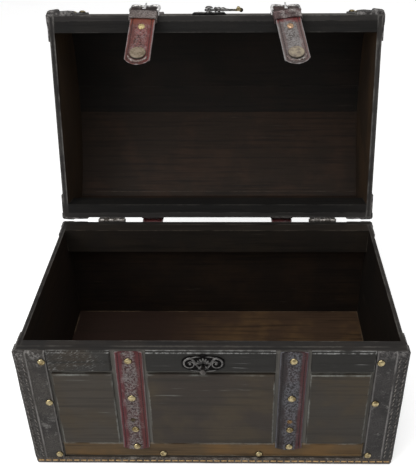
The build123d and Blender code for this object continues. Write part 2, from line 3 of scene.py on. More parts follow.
import bmesh
import bpy
from mathutils import Matrix, Vector
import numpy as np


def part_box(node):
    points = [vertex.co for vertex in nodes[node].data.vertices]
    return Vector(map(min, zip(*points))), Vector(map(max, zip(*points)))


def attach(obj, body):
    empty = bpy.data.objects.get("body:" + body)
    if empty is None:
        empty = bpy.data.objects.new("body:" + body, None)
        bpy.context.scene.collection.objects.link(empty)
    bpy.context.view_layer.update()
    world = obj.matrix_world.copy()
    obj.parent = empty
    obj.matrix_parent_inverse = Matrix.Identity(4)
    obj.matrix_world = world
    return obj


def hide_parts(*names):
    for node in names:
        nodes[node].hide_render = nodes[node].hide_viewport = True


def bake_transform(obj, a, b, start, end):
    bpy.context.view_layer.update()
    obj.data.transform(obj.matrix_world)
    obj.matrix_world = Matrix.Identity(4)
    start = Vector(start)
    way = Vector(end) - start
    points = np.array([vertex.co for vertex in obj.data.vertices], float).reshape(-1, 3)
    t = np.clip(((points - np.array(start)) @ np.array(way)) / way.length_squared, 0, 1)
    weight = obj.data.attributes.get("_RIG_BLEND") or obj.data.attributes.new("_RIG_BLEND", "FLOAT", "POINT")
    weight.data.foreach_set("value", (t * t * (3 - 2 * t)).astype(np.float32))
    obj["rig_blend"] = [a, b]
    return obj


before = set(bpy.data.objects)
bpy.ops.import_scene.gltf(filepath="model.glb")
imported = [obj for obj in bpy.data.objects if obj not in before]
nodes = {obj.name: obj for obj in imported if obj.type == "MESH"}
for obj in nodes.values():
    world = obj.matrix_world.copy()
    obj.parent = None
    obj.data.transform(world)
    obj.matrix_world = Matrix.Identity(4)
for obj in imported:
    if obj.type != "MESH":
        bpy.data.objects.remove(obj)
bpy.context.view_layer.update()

# Table, light and camera: the chest stands on a white table under a broad soft box overhead,
# with weaker ones at its left and behind it. It is seen from in front and above, from about
# half a metre off.
mm = 0.001
white, black = (1, 1, 1, 1), (0, 0, 0, 1)
scene = bpy.context.scene
scene.view_settings.view_transform = "Standard"


class Wire:
    """A number or vector on its way through shader nodes; the usual signs work on it."""

    def __init__(self, tree, socket):
        self.tree, self.socket = tree, socket

    def __add__(self, other):
        return self.tree.maths("ADD", self, other)

    def __radd__(self, other):
        return self.tree.maths("ADD", other, self)

    def __sub__(self, other):
        return self.tree.maths("SUBTRACT", self, other)

    def __rsub__(self, other):
        return self.tree.maths("SUBTRACT", other, self)

    def __mul__(self, other):
        return self.tree.maths("MULTIPLY", self, other)

    def __rmul__(self, other):
        return self.tree.maths("MULTIPLY", other, self)

    def __abs__(self):
        return self.tree.maths("ABSOLUTE", self)


class Tree:
    """Shader nodes of a material or the world, put together one by one."""

    def __init__(self, made):
        made.use_nodes = True
        self.made, self.nodes, self.links = made, made.node_tree.nodes, made.node_tree.links
        self.nodes.clear()

    def add(self, kind, settings, sockets, out=0):
        """A node with its settings, and the values or links of its sockets."""
        node = self.nodes.new("ShaderNode" + kind)
        for key, value in settings.items():
            setattr(node, key, value)
        for key, value in sockets.items():
            if isinstance(value, Wire):
                self.links.new(value.socket, node.inputs[key])
            else:
                node.inputs[key].default_value = value
        return Wire(self, node.outputs[out]) if node.outputs else None

    def maths(self, operation, *values):
        return self.add("Math", {"operation": operation}, dict(enumerate(values)))

    def mixed(self, share, colour, other):
        return self.add("Mix", {"data_type": "RGBA"}, {0: share, 6: colour, 7: other}, 2)

    def seen_directly(self):
        """1 where the camera looks at it and 0 where it only lights."""
        return self.add("LightPath", {}, {}, "Is Camera Ray")


yaw, dip, roll = math.radians(-0.95), math.radians(32.99), math.radians(-0.47)
eye_at = Vector((20.6, -474.4, 471.3))
picture_width, picture_height, focal_length, axis_x = 416, 473, 706.2, 229
ahead = Vector((math.sin(yaw) * math.cos(dip), math.cos(yaw) * math.cos(dip), -math.sin(dip)))
right = Vector((math.cos(yaw), -math.sin(yaw), 0))
above = right.cross(ahead)
level = right * math.cos(roll) + above * math.sin(roll)
upright = above * math.cos(roll) - right * math.sin(roll)
lens = bpy.data.cameras.new("camera")
lens.sensor_width = 36
lens.lens = focal_length / picture_height * lens.sensor_width
lens.shift_x = (picture_width / 2 - axis_x) / picture_height
lens.clip_start, lens.clip_end = 0.01, 20
camera = bpy.data.objects.new("camera", lens)
scene.collection.objects.link(camera)
camera.matrix_world = Matrix.Translation(eye_at * mm) @ Matrix((level, upright, -ahead)).transposed().to_4x4()
scene.camera = camera

scene.world = bpy.data.worlds.new("room")
room = Tree(scene.world)
lighting = room.add("Background", {}, {"Color": white, "Strength": 0.5})
backdrop = room.add("Background", {}, {"Color": white, "Strength": 1})
room.add("OutputWorld", {}, {
    "Surface": room.add("MixShader", {}, {0: room.seen_directly(), 1: lighting, 2: backdrop})})
for name, place, size, power in (("overhead", (-0.15, -0.35, 1.25), 0.9, 8),
                                 ("window_side", (-0.9, -0.9, 0.8), 0.6, 5),
                                 ("far_side", (0.9, 0.7, 0.9), 0.8, 2)):
    light = bpy.data.lights.new(name, "AREA")
    light.size, light.energy = size, power
    lamp = bpy.data.objects.new(name, light)
    scene.collection.objects.link(lamp)
    lamp.location = place
    lamp.rotation_euler = (Vector((0, 0, 0.1)) - Vector(place)).to_track_quat("-Z", "Y").to_euler()

bpy.ops.object.select_all(action="DESELECT")
bpy.ops.mesh.primitive_plane_add(size=12, location=(0, 0, 0))
table = bpy.context.object
table.name = "table"
table_top = Tree(bpy.data.materials.new("table_top"))
table_top.add("OutputMaterial", {}, {"Surface": table_top.add("BsdfPrincipled", {}, {
    "Base Color": (0.9, 0.9, 0.9, 1), "Roughness": 0.9, "Emission Strength": 0.42,
    "Emission Color": table_top.mixed(table_top.seen_directly(), black, white)})})
table.data.materials.append(table_top.made)


# Boards of the base: thin pine boards glued at the corners and stained dark. The grain runs
# lengthwise, and the stain lies darker in it. Where hands and the lid rub the arrises, the
# stain has gone pale.
hinge_line = Vector((0, 93.28, 120.9))
lid_angle = math.radians(-104.3)
open_turn = Matrix.Rotation(lid_angle, 4, "X")


def paint(red, green, blue):
    """A colour read off a surface, 0 to 255 in each channel, as the shader takes it."""
    parts = [value / 255 for value in (red, green, blue)]
    return tuple(v / 12.92 if v <= 0.04045 else ((v + 0.055) / 1.055) ** 2.4 for v in parts) + (1,)


class Finish(Tree):
    """A material of the chest. Its places are in millimetres, with the lid shut."""

    def __init__(self, name, on_lid=False):
        super().__init__(bpy.data.materials.new(name))
        turned = open_turn.inverted() @ hinge_line if on_lid else hinge_line
        self.place = self.add("Mapping", {}, {
            "Vector": self.add("TexCoord", {}, {}, "Object"),
            "Location": hinge_line - turned,
            "Rotation": (-lid_angle if on_lid else 0, 0, 0),
            "Scale": (1 / mm, 1 / mm, 1 / mm)})

    def smaller(self, first, second):
        return self.maths("MINIMUM", first, second)

    def larger(self, first, second):
        return self.maths("MAXIMUM", first, second)

    def fade(self, value, at_none, at_full):
        """0 at one value and 1 at the other, with a soft turn at both."""
        return self.add("MapRange", {"interpolation_type": "SMOOTHSTEP"}, {
            "Value": value, "From Min": at_none, "From Max": at_full})

    def stretched(self, at, amounts):
        return self.add("VectorMath", {"operation": "MULTIPLY"}, {0: at, 1: amounts})

    def cloudy(self, at, size, detail=2, roughness=0.5):
        """Uneven patches about this many millimetres across."""
        return self.add("TexNoise", {}, {
            "Vector": at, "Scale": 1 / size, "Detail": detail, "Roughness": roughness})

    def axes(self):
        """The place's three distances from the middle of the chest's foot."""
        node = self.add("SeparateXYZ", {}, {"Vector": self.place}).socket.node
        return [Wire(self, node.outputs[axis]) for axis in range(3)]

    def own(self, name):
        """A number that the piece carries on its own points."""
        return self.add("Attribute", {"attribute_name": name}, {}, "Fac")

    def surface(self, colour, roughness, metallic=0.0, height=None, depth=0.1, shine=0.5):
        """The last nodes. height is a bump, this many millimetres deep."""
        sockets = {"Base Color": colour, "Roughness": roughness, "Metallic": metallic,
                   "Specular IOR Level": shine}
        if height is not None:
            sockets["Normal"] = self.add("Bump", {}, {
                "Height": height, "Distance": depth * mm, "Strength": 1.0})
        self.add("OutputMaterial", {}, {"Surface": self.add("BsdfPrincipled", {}, sockets)})
        return self.made


def arris_of(finish, low, high):
    """How far a point on a box of these corners is from its nearest arris."""
    x, y, z = [finish.smaller(part - a, b - part) for part, a, b in zip(finish.axes(), low, high)]
    return finish.larger(finish.smaller(x, y), finish.smaller(finish.larger(x, y), z))


def stained(name, box, ground, streak, patch, rubbed, rub=(1.6, 0.2), along=0, on_lid=False,
            gloss=0.55, outside=None, outer=None, rim_tone=None, fading=None, hatched=None):
    """Stained wood for a board of this box; along is the axis of its grain. outside picks out
    the faces that carry the smoky paint of the chest's outside, or the paint in outer instead;
    rim_tone is the paint of the top edge; fading gives the places between which the stain goes from
    a darker tone to its own, and hatched those past which short slanting scrapes begin. The
    lighter grey given in outer for the front board is painted light in the narrow gaps between
    its panels. The darker tone of fading is painted shade on the floor; on the top rails it gives
    way to worn paint at the left end."""
    finish = Finish(name, on_lid)
    at, (x, y, z) = finish.place, finish.axes()
    tones = (ground, streak, patch, rubbed)
    if outside:
        out = outside(finish)
        tones = [finish.mixed(out, inner, painted) for inner, painted in zip(tones, outer or smoke)]
    if rim_tone:
        top_edge = finish.fade(z, *((121.9, 121.6) if on_lid else (120.5, 120.8)))
        tones = [finish.mixed(top_edge, below, painted) for below, painted in zip(tones, rim_tone)]
    ground, streak, patch, rubbed = tones
    if fading:
        start, end, darker = fading
        here = finish.fade(x + 60 * (finish.cloudy(at, 50) - 0.5), start, end)
        ground, patch = finish.mixed(here, darker, ground), finish.mixed(here, darker, patch)
    grain, fibre = [0.35, 0.35, 0.35], [1.6, 1.6, 1.6]
    grain[along], fibre[along] = 0.012, 0.05
    bands = finish.cloudy(finish.stretched(at, grain), 1.0, 4, 0.6)
    fibres = finish.cloudy(finish.stretched(at, fibre), 1.0, 5, 0.65)
    patches = finish.cloudy(at, 38, 3, 0.6)
    colour = finish.mixed(finish.fade(patches, 0.42, 0.66), ground, patch)
    colour = finish.mixed(finish.fade(bands, 0.45, 0.75) * 0.8, colour, streak)
    colour = finish.mixed(finish.fade(fibres, 0.5, 0.8) * 0.5, colour, streak)
    scuffs = finish.cloudy(at, 3.2, 4, 0.7)
    runs = finish.cloudy(at, 24, 2, 0.5)
    edge = finish.fade(arris_of(finish, *box) + (scuffs - 0.5) * 2.4, *rub) * finish.fade(runs, 0.38, 0.6)
    scratch = finish.cloudy(finish.stretched(at, [v * 1.7 for v in grain]), 1.0, 3, 0.55)
    scrapes = finish.fade(scratch, 0.65, 0.74) * finish.fade(runs, 0.46, 0.64) * 0.6
    if hatched:
        slanted = finish.add("CombineXYZ", {}, {
            "X": (x * 0.86 + z * 0.5) * 0.2, "Y": (z * 0.86 - x * 0.5) * 1.2})
        strokes = finish.fade(finish.cloudy(slanted, 1.0, 3, 0.6), 0.5, 0.68) * finish.fade(x, *hatched)
        scrapes = finish.larger(scrapes, strokes * finish.fade(scuffs, 0.4, 0.6) * 0.55)
    colour = finish.mixed(finish.larger(edge * 0.85, scrapes), colour, rubbed)
    height = fibres * 0.5 + bands * 0.35 + scuffs * 0.3
    return finish.surface(colour, gloss + 0.25 * fibres, 0.0, height, 0.25, shine=0.16)


def refinish(node, material):
    """A carried-over part takes this material all over."""
    mesh = nodes[node].data
    mesh.materials.clear()
    mesh.materials.append(material)
    for face in mesh.polygons:
        face.material_index = 0


def board(node, *tones, box=None, **look):
    """A carried-over board takes a stain of its own."""
    box = box or [[v / mm for v in corner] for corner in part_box(node)]
    refinish(node, stained("stain_of_" + node, box, *tones, **look))


def past(axis, limit, sign):
    """Picks the faces beyond this distance out along an axis."""
    return lambda finish: finish.fade(sign * finish.axes()[axis], limit - 0.1, limit)


smoke = (paint(58, 54, 50), paint(45, 42, 38), paint(66, 58, 47), paint(118, 119, 114))
wall_stain = (paint(28, 21, 16), paint(15, 11, 9), paint(36, 26, 18), paint(66, 58, 50))
rim_paint = (paint(36, 34, 33), paint(24, 22, 21), paint(42, 38, 35), paint(70, 67, 63))
back_rim_paint = (paint(27, 25, 23), paint(17, 15, 13), paint(32, 29, 25), paint(50, 47, 43))
# The front board's outside shows only in the narrow gaps between the panels and straps. Its light grey is
# painted light, lifting the shade that falls in those gaps.
board("base_front_board", *wall_stain, outside=past(1, 87.3, -1), outer=(paint(98, 95, 90),) * 4,
      rim_tone=rim_paint)
board("base_back_board", *wall_stain, outside=past(1, 90.3, 1), rim_tone=back_rim_paint)
board("base_left_board", paint(34, 26, 20), *wall_stain[1:], along=1, outside=past(0, 143.6, -1),
      rim_tone=rim_paint)
board("base_right_board", paint(21, 17, 13), paint(12, 9, 8), paint(26, 20, 15), wall_stain[3], along=1,
      outside=past(0, 143.6, 1), rim_tone=rim_paint)
floor_stain = (paint(62, 46, 33), paint(32, 23, 16), paint(80, 60, 38), paint(84, 70, 54))
# Painted shade: the floor goes to a darker tone towards the left wall, for the shadow that wall casts on it.
board("base_floor", *floor_stain, fading=(-75, 60, paint(40, 27, 21)))
for batten in ("left", "centre", "right"):
    board("floor_batten_" + batten, *floor_stain, along=1)
board("base_front_inner_rail", *rim_paint, rub=(1.0, 0.1))
board("base_back_inner_rail", paint(29, 25, 21), paint(18, 15, 12), paint(35, 29, 23), paint(60, 54, 47),
      rub=(1.0, 0.1))


# Boards of the lid: a front and a back board, three curved boards over the vault and two arched
# ends, all of the same pine, with thick rails glued inside the front and back edges. The front
# board and the two front curved boards take a darker copy of the stain, painted shade for the
# inside of the open lid where it faces down, away from the light, and the rims are painted black.
swung_open = Matrix.Translation(hinge_line * mm) @ open_turn @ Matrix.Translation(-hinge_line * mm)
vault_centre, vault_radius, vault_middle, vault_half = 13.7, 193.6, -0.65, 91.15


def over_vault(finish):
    """Picks the top of the vault, which is an arc about a line well below the lid."""
    _, y, z = finish.axes()
    y, z = y - vault_middle, z - vault_centre
    return finish.fade(y * y + z * z, (vault_radius - 0.7) ** 2, (vault_radius - 0.3) ** 2)


def shut_box(node):
    """A lid part's corners with the lid shut, in millimetres."""
    back = swung_open.inverted()
    points = [back @ v.co / mm for v in nodes[node].data.vertices]
    return [[pick(p[axis] for p in points) for axis in range(3)] for pick in (min, max)]


lid_rim_paint = (paint(40, 38, 37), paint(25, 23, 22), paint(50, 48, 46), paint(92, 90, 87))
# Painted shade: a darker copy of the stain, for the boards whose inside faces down, away from the light,
# while the lid is open.
stain_with_painted_shade = (paint(21, 17, 13), paint(12, 10, 8), paint(27, 20, 15), paint(42, 37, 32))
warm_stain = (paint(37, 28, 21), paint(20, 15, 12), paint(46, 33, 24), paint(62, 54, 47))
for node, stain, outside in (("lid_front_board", stain_with_painted_shade, past(1, 91.6, -1)),
                             ("lid_front_stave", stain_with_painted_shade, over_vault),
                             ("lid_ridge_stave", stain_with_painted_shade, over_vault),
                             ("lid_back_stave", warm_stain, over_vault),
                             ("lid_back_board", warm_stain, past(1, 90.3, 1))):
    board(node, *stain, box=shut_box(node), on_lid=True, rub=(0.9, 0.1), outside=outside,
          rim_tone=lid_rim_paint)
rail_paint = (paint(22, 21, 20), paint(14, 13, 12), paint(26, 24, 22), paint(52, 50, 47))
for node in ("lid_front_rail", "lid_back_rail"):
    board(node, *rail_paint, box=shut_box(node), on_lid=True, rub=(1.0, 0.1))
end_stain = (paint(30, 23, 17), paint(64, 49, 35), paint(72, 64, 56))
for node, way, ground in (("lid_end_left", -1, paint(56, 44, 33)), ("lid_end_right", 1, paint(49, 39, 30))):
    board(node, ground, *end_stain, box=shut_box(node), on_lid=True, along=1, outside=past(0, 144.4, way),
          rim_tone=lid_rim_paint)


# Panels and rails on the front: raised panels and flat rails of thin wood, glued over the front
# board and painted a smoky grey brown. Their eased arrises are rubbed back to a chalky grey.
for panel, ground in (("left", paint(64, 59, 53)), ("centre", paint(56, 50, 45)),
                      ("right", paint(58, 54, 49))):
    board("front_panel_" + panel, ground, *smoke[1:], rub=(1.4, 0.3), gloss=0.5)
board("front_top_rails", paint(50, 49, 47), paint(36, 35, 33), paint(56, 50, 43), paint(140, 140, 138),
      rub=(0.85, 0.2), gloss=0.5, fading=(-40, -95, paint(42, 41, 39)), hatched=(-74, -90))
board("front_bottom_rail", paint(86, 70, 50), paint(48, 38, 28), paint(102, 78, 48), paint(128, 122, 112),
      rub=(1.6, 0.3))


# Corner bands of the base: black leather folded round each corner over card, with a narrower
# embossed strip of leather sewn over the corner itself. The folds are scuffed grey, and the two
# left bands are the most worn.
sides = (("left", -1), ("right", 1))
ahead_of, behind = Vector((0, -1, 0)), Vector((0, 1, 0))


def drawn(name, section, places):
    """A section pushed through a run of places, with closed ends. The section is (across, out)
    pairs in millimetres; each place is a point, the across and out directions, and where they
    are not 1 and 0 a width share and how far the middle leads the edges. Every point carries
    how far along and across it is."""
    bpy.ops.object.select_all(action="DESELECT")
    bpy.ops.mesh.primitive_circle_add(vertices=len(section), radius=mm, fill_type="NGON")
    piece = bpy.context.object
    piece.name = name
    bpy.ops.object.mode_set(mode="EDIT")
    mesh = bmesh.from_edit_mesh(piece.data)
    mesh.verts.layers.int.new("corner")
    mesh.verts.layers.float.new("along")
    mesh.verts.layers.float.new("across")
    for index, vertex in enumerate(mesh.verts):
        vertex[mesh.verts.layers.int["corner"]] = index
    half = max(abs(across) for across, _ in section)
    points = [Vector(place[0]) for place in places]
    travelled = 0.0
    for step, (_, across, out, *rest) in enumerate(places):
        if step:
            bpy.ops.mesh.extrude_region()
        share, lead = rest or (1, 0)
        before, after = points[max(step - 1, 0)], points[min(step + 1, len(points) - 1)]
        onward = (after - before).normalized()
        travelled += (points[step] - before).length
        mesh = bmesh.from_edit_mesh(piece.data)
        layers = mesh.verts.layers
        corner_of, along_of, across_of = layers.int["corner"], layers.float["along"], layers.float["across"]
        for vertex in mesh.verts:
            if vertex.select:
                u, v = section[vertex[corner_of]]
                back = lead * (u / half) ** 2
                vertex.co = (points[step] + Vector(across) * u * share + Vector(out) * v - onward * back) * mm
                vertex[along_of] = travelled - back
                vertex[across_of] = u
        bmesh.update_edit_mesh(piece.data)
    bpy.ops.mesh.select_all(action="SELECT")
    bpy.ops.mesh.normals_make_consistent(inside=False)
    bpy.ops.object.mode_set(mode="OBJECT")
    return piece


def chosen(piece):
    """Selects this piece alone."""
    bpy.ops.object.select_all(action="DESELECT")
    piece.select_set(True)
    bpy.context.view_layer.objects.active = piece


def modified(piece, kind, **settings):
    """Adds a modifier to the piece and applies it."""
    chosen(piece)
    modifier = piece.modifiers.new(kind.lower(), kind)
    for key, value in settings.items():
        setattr(modifier, key, value)
    bpy.ops.object.modifier_apply(modifier=modifier.name)


def crumpled(piece, size, depth):
    """The gentle unevenness of worked leather: hollows this wide and this deep, in millimetres."""
    texture = bpy.data.textures.new(piece.name + "_dents", "CLOUDS")
    texture.noise_scale = size * mm
    texture.noise_depth = 2
    modified(piece, "DISPLACE", texture=texture, texture_coords="LOCAL", strength=depth * mm, mid_level=0.5)


def joined(name, pieces):
    """Several meshes as one piece."""
    chosen(pieces[0])
    for piece in pieces:
        piece.select_set(True)
    bpy.ops.object.join()
    pieces[0].name = name
    return pieces[0]


def settled(piece, material, body, slot, *replaced, on_lid=False, angle=40):
    """Puts a finished piece on its body, with its place in its mesh."""
    chosen(piece)
    if on_lid:
        piece.matrix_world = swung_open @ piece.matrix_world
    bpy.ops.object.transform_apply(location=True, rotation=True, scale=True)
    bpy.ops.object.shade_smooth_by_angle(angle=math.radians(angle))
    piece.data.materials.clear()
    piece.data.materials.append(material)
    if replaced:
        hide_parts(*replaced)
    if body:
        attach(piece, body)


def hide(name, ground, dark, worn, pores=0.9, wear=0.5, on_lid=False, edges=None, gloss=0.42,
         creases=0.6, tint=None, ridge=False, middle=0.0, tip=None, dark_past=None, top=None,
         flanks=(), frayed=None):
    """Grained leather. edges is the half width at which a strap's edge lies, for its rubbed
    rim and the sewn line inside it, which also follow a tip at this length with this lead; middle
    is how far its middle is scraped silvery. ridge rubs the edge of the sewn strip on a corner
    band, which is darker and coarser. dark_past is the height below which the hide is darkened
    with painted shade, where a buckle stands over the strap. top is a colour at a strap's start
    and the lengths up to which and from which it has gone; flanks are the colours along its two
    edges. frayed gives the heights over which scuffs gather."""
    finish = Finish(name, on_lid)
    at, (x, _, z) = finish.place, finish.axes()
    pebbles = finish.add("TexVoronoi", {"feature": "SMOOTH_F1"}, {
        "Vector": at, "Scale": 1 / pores, "Smoothness": 0.35}, "Distance")
    fine = finish.cloudy(at, pores * 0.6, 3, 0.6)
    creased = finish.cloudy(at, 7, 5, 0.72)
    broad = finish.cloudy(at, 30, 3, 0.6)
    uneven = creased - 0.5
    colour = finish.mixed(finish.fade(broad, 0.38, 0.66), ground, tint or dark)
    colour = finish.mixed(finish.fade(pebbles, 0.35, 0.75) * 0.7, colour, dark)
    rubbed = finish.fade(creased * 0.75 + broad * 0.35 - pebbles * 0.12, 0.62 - 0.2 * wear, 0.86 - 0.2 * wear)
    height = creased * creases - pebbles * 0.35 + fine * 0.15
    if ridge:
        aside = abs(x)
        fold = finish.fade(abs(aside - 135.7) + uneven * 1.6, 0.9, 0.1)
        rubbed = finish.larger(rubbed, fold * finish.fade(broad, 0.3, 0.5) * 0.85)
        rubbed = finish.larger(rubbed, finish.fade(abs(aside - 122.0) + uneven * 1.6, 0.8, 0.1) * 0.6)
        strip = finish.fade(aside, 136.5, 137.2)
        coarse = finish.cloudy(at, 1.5, 3, 0.65)
        colour = finish.mixed(strip * 0.6, colour, dark)
        rubbed = finish.larger(rubbed * (1 - strip * 0.5), strip * finish.fade(coarse, 0.52, 0.66) * 0.45)
        height = height + strip * coarse
    if edges:
        along, offside = finish.own("along"), finish.own("across")
        across = abs(offside)
        inside = edges - across
        if tip:
            inside = finish.smaller(inside, tip[0] - along - across * across * (tip[1] / edges ** 2))
        rubbed = rubbed * finish.fade(inside, 1.8, 4.6)
        if middle:
            crinkled = finish.cloudy(at, 1.9, 6, 0.8)
            scraped = finish.fade(inside + (broad - 0.5) * 11, 3.2, 7.0) * finish.fade(crinkled, 0.47, 0.54)
            rubbed = finish.larger(rubbed, scraped * middle)
            hollows = finish.fade(crinkled, 0.47, 0.41) * finish.fade(inside, 2.5, 5)
            colour = finish.mixed(hollows * 0.85, colour, dark)
            height = height + crinkled * 0.6
        for sign, flank in zip((-1, 1), flanks):
            share = finish.fade(sign * offside + uneven * 4, edges - 5.5, edges - 3.5)
            colour = finish.mixed(share * 0.75, colour, flank)
        if top:
            start = finish.fade(along + uneven * 8, top[2], top[1])
            colour, rubbed = finish.mixed(start * 0.85, colour, top[0]), rubbed * (1 - start * 0.7)
        wave = finish.maths("SINE", along * (math.tau / 2.3))
        line = finish.fade(abs(inside - 2.6), 0.55, 0.15) * (0.8 + 0.2 * wave)
        rounded = finish.fade(along, tip[0] - 4, tip[0] + 1) * 1.2 + 1.3 if tip else 1.3
        rubbed = finish.larger(rubbed, finish.fade(inside + uneven * 2.2, rounded, 0.2) * 0.8)
        colour = finish.mixed(line * 0.85, colour, dark)
        height = height - line * 0.9
    if frayed:
        worse = finish.fade(z, *frayed)
        rubbed = finish.larger(rubbed, worse * finish.fade(finish.cloudy(at, 4, 5, 0.8), 0.48, 0.58))
        height = height + worse * creased * 2
    # Painted shade: the hide goes darker below the height given, where the buckle stands over the strap.
    if dark_past:
        shaded = finish.fade(z, dark_past + 6, dark_past)
        colour, rubbed = finish.mixed(shaded * 0.8, colour, dark), rubbed * (1 - shaded * 0.6)
    colour = finish.mixed(rubbed * 0.85, colour, worn)
    return finish.surface(colour, gloss + 0.22 * rubbed + 0.12 * fine, 0.0, height, 0.3, shine=0.25)


def stitches(name, spots, length, thick):
    """Short sunk threads in one piece, each at a point, with the ways it lies and faces."""
    threads = []
    for point, forward, out in spots:
        bpy.ops.object.select_all(action="DESELECT")
        bpy.ops.mesh.primitive_cylinder_add(vertices=6, radius=thick * mm, depth=length * mm,
                                            end_fill_type="TRIFAN")
        thread = bpy.context.object
        for vertex in thread.data.vertices:
            if vertex.co.x == 0 and vertex.co.y == 0:
                vertex.co.z *= 1.12
        forward, out = Vector(forward), Vector(out)
        forward = (forward - out * out.dot(forward)).normalized()
        thread.matrix_world = Matrix.Translation(Vector(point) * mm) @ Matrix(
            (out.cross(forward), out, forward)).transposed().to_4x4()
        threads.append(thread)
    return joined(name, threads)


def thread_finish(name, size, light, dark, shine=0.5):
    """Twisted thread."""
    finish = Finish(name)
    twist = finish.cloudy(finish.place, size, 2)
    return finish.surface(finish.mixed(finish.fade(twist, 0.3, 0.7), light, dark), 0.6, shine=shine)


def corner_section(side, front):
    """The band's outline in plan. The sewn strip stands a little proud over the corner."""
    face, thick = (87.5, 3.0) if front else (90.5, 1.2)
    top = face + thick
    rows = [(121.6, face + 0.05), (121.6, top - 0.5), (122.1, top), (128, top + 0.25), (134.6, top),
            (135.2, top + 0.7), (136.4, top + 0.9), (140, top + 0.75), (143.6, top + 0.6),
            (145.0, top - 0.2), (145.6, top - 1.8), (145.5, top - 5), (145.6, top - 8.6),
            (145.4, top - 9.8), (144.9, top - 10.4), (145.0, top - 16), (144.9, top - 23.0),
            (144.4, top - 23.5), (143.9, top - 23.4), (143.9, face + 0.05)]
    return [(side * x, -y if front else y) for x, y in rows]


black_hide = (paint(55, 52, 51), paint(29, 27, 26), paint(124, 121, 119))
worn_black = (paint(64, 60, 56), paint(36, 33, 31), paint(130, 127, 124))
dark_thread = thread_finish("dull_thread", 1.2, paint(126, 121, 116), paint(66, 62, 59), shine=0.3)
upward = [((0, 0, z), (1, 0, 0), (0, 1, 0))
          for z in [7.1, 7.6] + [8 + 4 * k for k in range(28)] + [120.2, 120.8]]
for end, side in sides:
    for face, front in (("front", True), ("back", False)):
        name = f"corner_band_{face}_{end}"
        band = drawn("hide_" + name, corner_section(side, front), upward)
        modified(band, "BEVEL", width=0.15 * mm, segments=1, limit_method="ANGLE")
        crumpled(band, 22, 0.5)
        band_hide = hide("hide_of_" + name, *(worn_black if side < 0 else black_hide), wear=0.6, ridge=True,
                         frayed=(106, 122) if side < 0 else (112, 125))
        settled(band, band_hide, "base", "black_leather", name)
        flat, out = (91.5, -1) if front else (92.45, 1)
        lean = (0.25 * side, 0, 0.97)
        spots = [((side * x, out * y, 11.5 + 4.9 * k), lean, way)
                 for x, y, way in ((138.2, flat, (0, out, 0)), (142.6, flat - 0.1, (0, out, 0)),
                                   (145.55, flat - 5.0, (side, 0, 0)))
                 for k in range(22)]
        settled(stitches("stitches_" + name, spots, 3.2, 0.36), dark_thread, "base", "black_leather")


# Leather round the foot: one strip of browner leather wraps the foot on all four sides, its ends
# meeting at the back, and is sewn along with waxed golden thread.
legs = [((-8, 91.7), (-143.6, 91.7), behind), ((-145, 90.3), (-145, -89.1), Vector((-1, 0, 0))),
        ((-143.6, -90.5), (143.6, -90.5), ahead_of), ((145, -89.1), (145, 90.3), Vector((1, 0, 0))),
        ((143.6, 91.7), (-7.7, 91.7), behind)]
foot, spots = [], []
for start, stop, out in legs:
    start, stop = Vector((*start, 0)), Vector((*stop, 0))
    steps = 24 if out is ahead_of else 14
    foot += [(start.lerp(stop, k / steps), (0, 0, 1), out) for k in range(steps + 1)]
    number = int((stop - start).length / 5.7)
    spots += [(start.lerp(stop, (k + 0.5) / number) + out * 0.15 + Vector((0, 0, 3.9)), stop - start, out)
              for k in range(number)]
foot_section = [(0.45, -1.15), (0.45, -0.3), (0.9, 0.1), (2.4, 0.3), (3.9, 0.12), (5.4, 0.3), (6.5, 0.1),
                (7.0, -0.3), (7.0, -1.15)]
binding = drawn("hide_foot_binding", foot_section, foot)
crumpled(binding, 14, 0.35)
settled(binding, hide("hide_of_foot", paint(80, 71, 64), paint(42, 36, 31), paint(138, 132, 124), wear=0.85),
        "base", "black_leather", "foot_binding")
golden = thread_finish("waxed_thread", 1.5, paint(196, 160, 106), paint(140, 106, 64))
settled(stitches("foot_stitches", spots, 4.2, 0.6), golden, "base", "brass")


# Straps on the base: two dark red straps run down the front, each with a pressed line inside its
# edges and its middle scraped silver grey by use. The right one has lost most of its red. Two
# more run up the back.
def mirrored(half, *middle):
    """A whole row from its right half, whose entries start with how far out they are."""
    return [(-u, *rest) for u, *rest in half] + [*middle] + half[::-1]


strap_x, strap_edge = 61, 10.65
red_hide = (paint(80, 34, 35), paint(26, 16, 15), paint(134, 130, 129))
strap_section = mirrored([(strap_edge, 0.02), (strap_edge, 1.0), (10.1, 1.75), (8.9, 1.85), (8.0, 1.5),
                          (6.5, 1.9)], (0, 2.0))
front_run = [(88.7, 16.2, 4), (88.7, 17.5, 1.6), (88.7, 20, 0.4), (88.7, 22.2, 0), (88.1, 23.4, 0),
             (87.55, 24.6, 0), (87.5, 27, 0)]
front_run += [(87.5, z, 0) for z in [*range(30, 120, 3), 119.6, 120.7]]
rear_run = [16.2, 17.2, 18.6, 20.5, *range(24, 120, 4)]
front_hides = {
    "left": (*red_hide[:2], paint(124, 120, 118), {
        "wear": 0.7, "middle": 0.9, "tint": paint(66, 33, 33),
        "flanks": (paint(88, 32, 38), paint(84, 34, 34))}),
    "right": (paint(52, 38, 38), paint(20, 16, 16), paint(102, 102, 107), {
        "wear": 0.6, "middle": 0.85, "tint": paint(40, 37, 38),
        "flanks": (paint(36, 31, 32), paint(74, 34, 36))})}
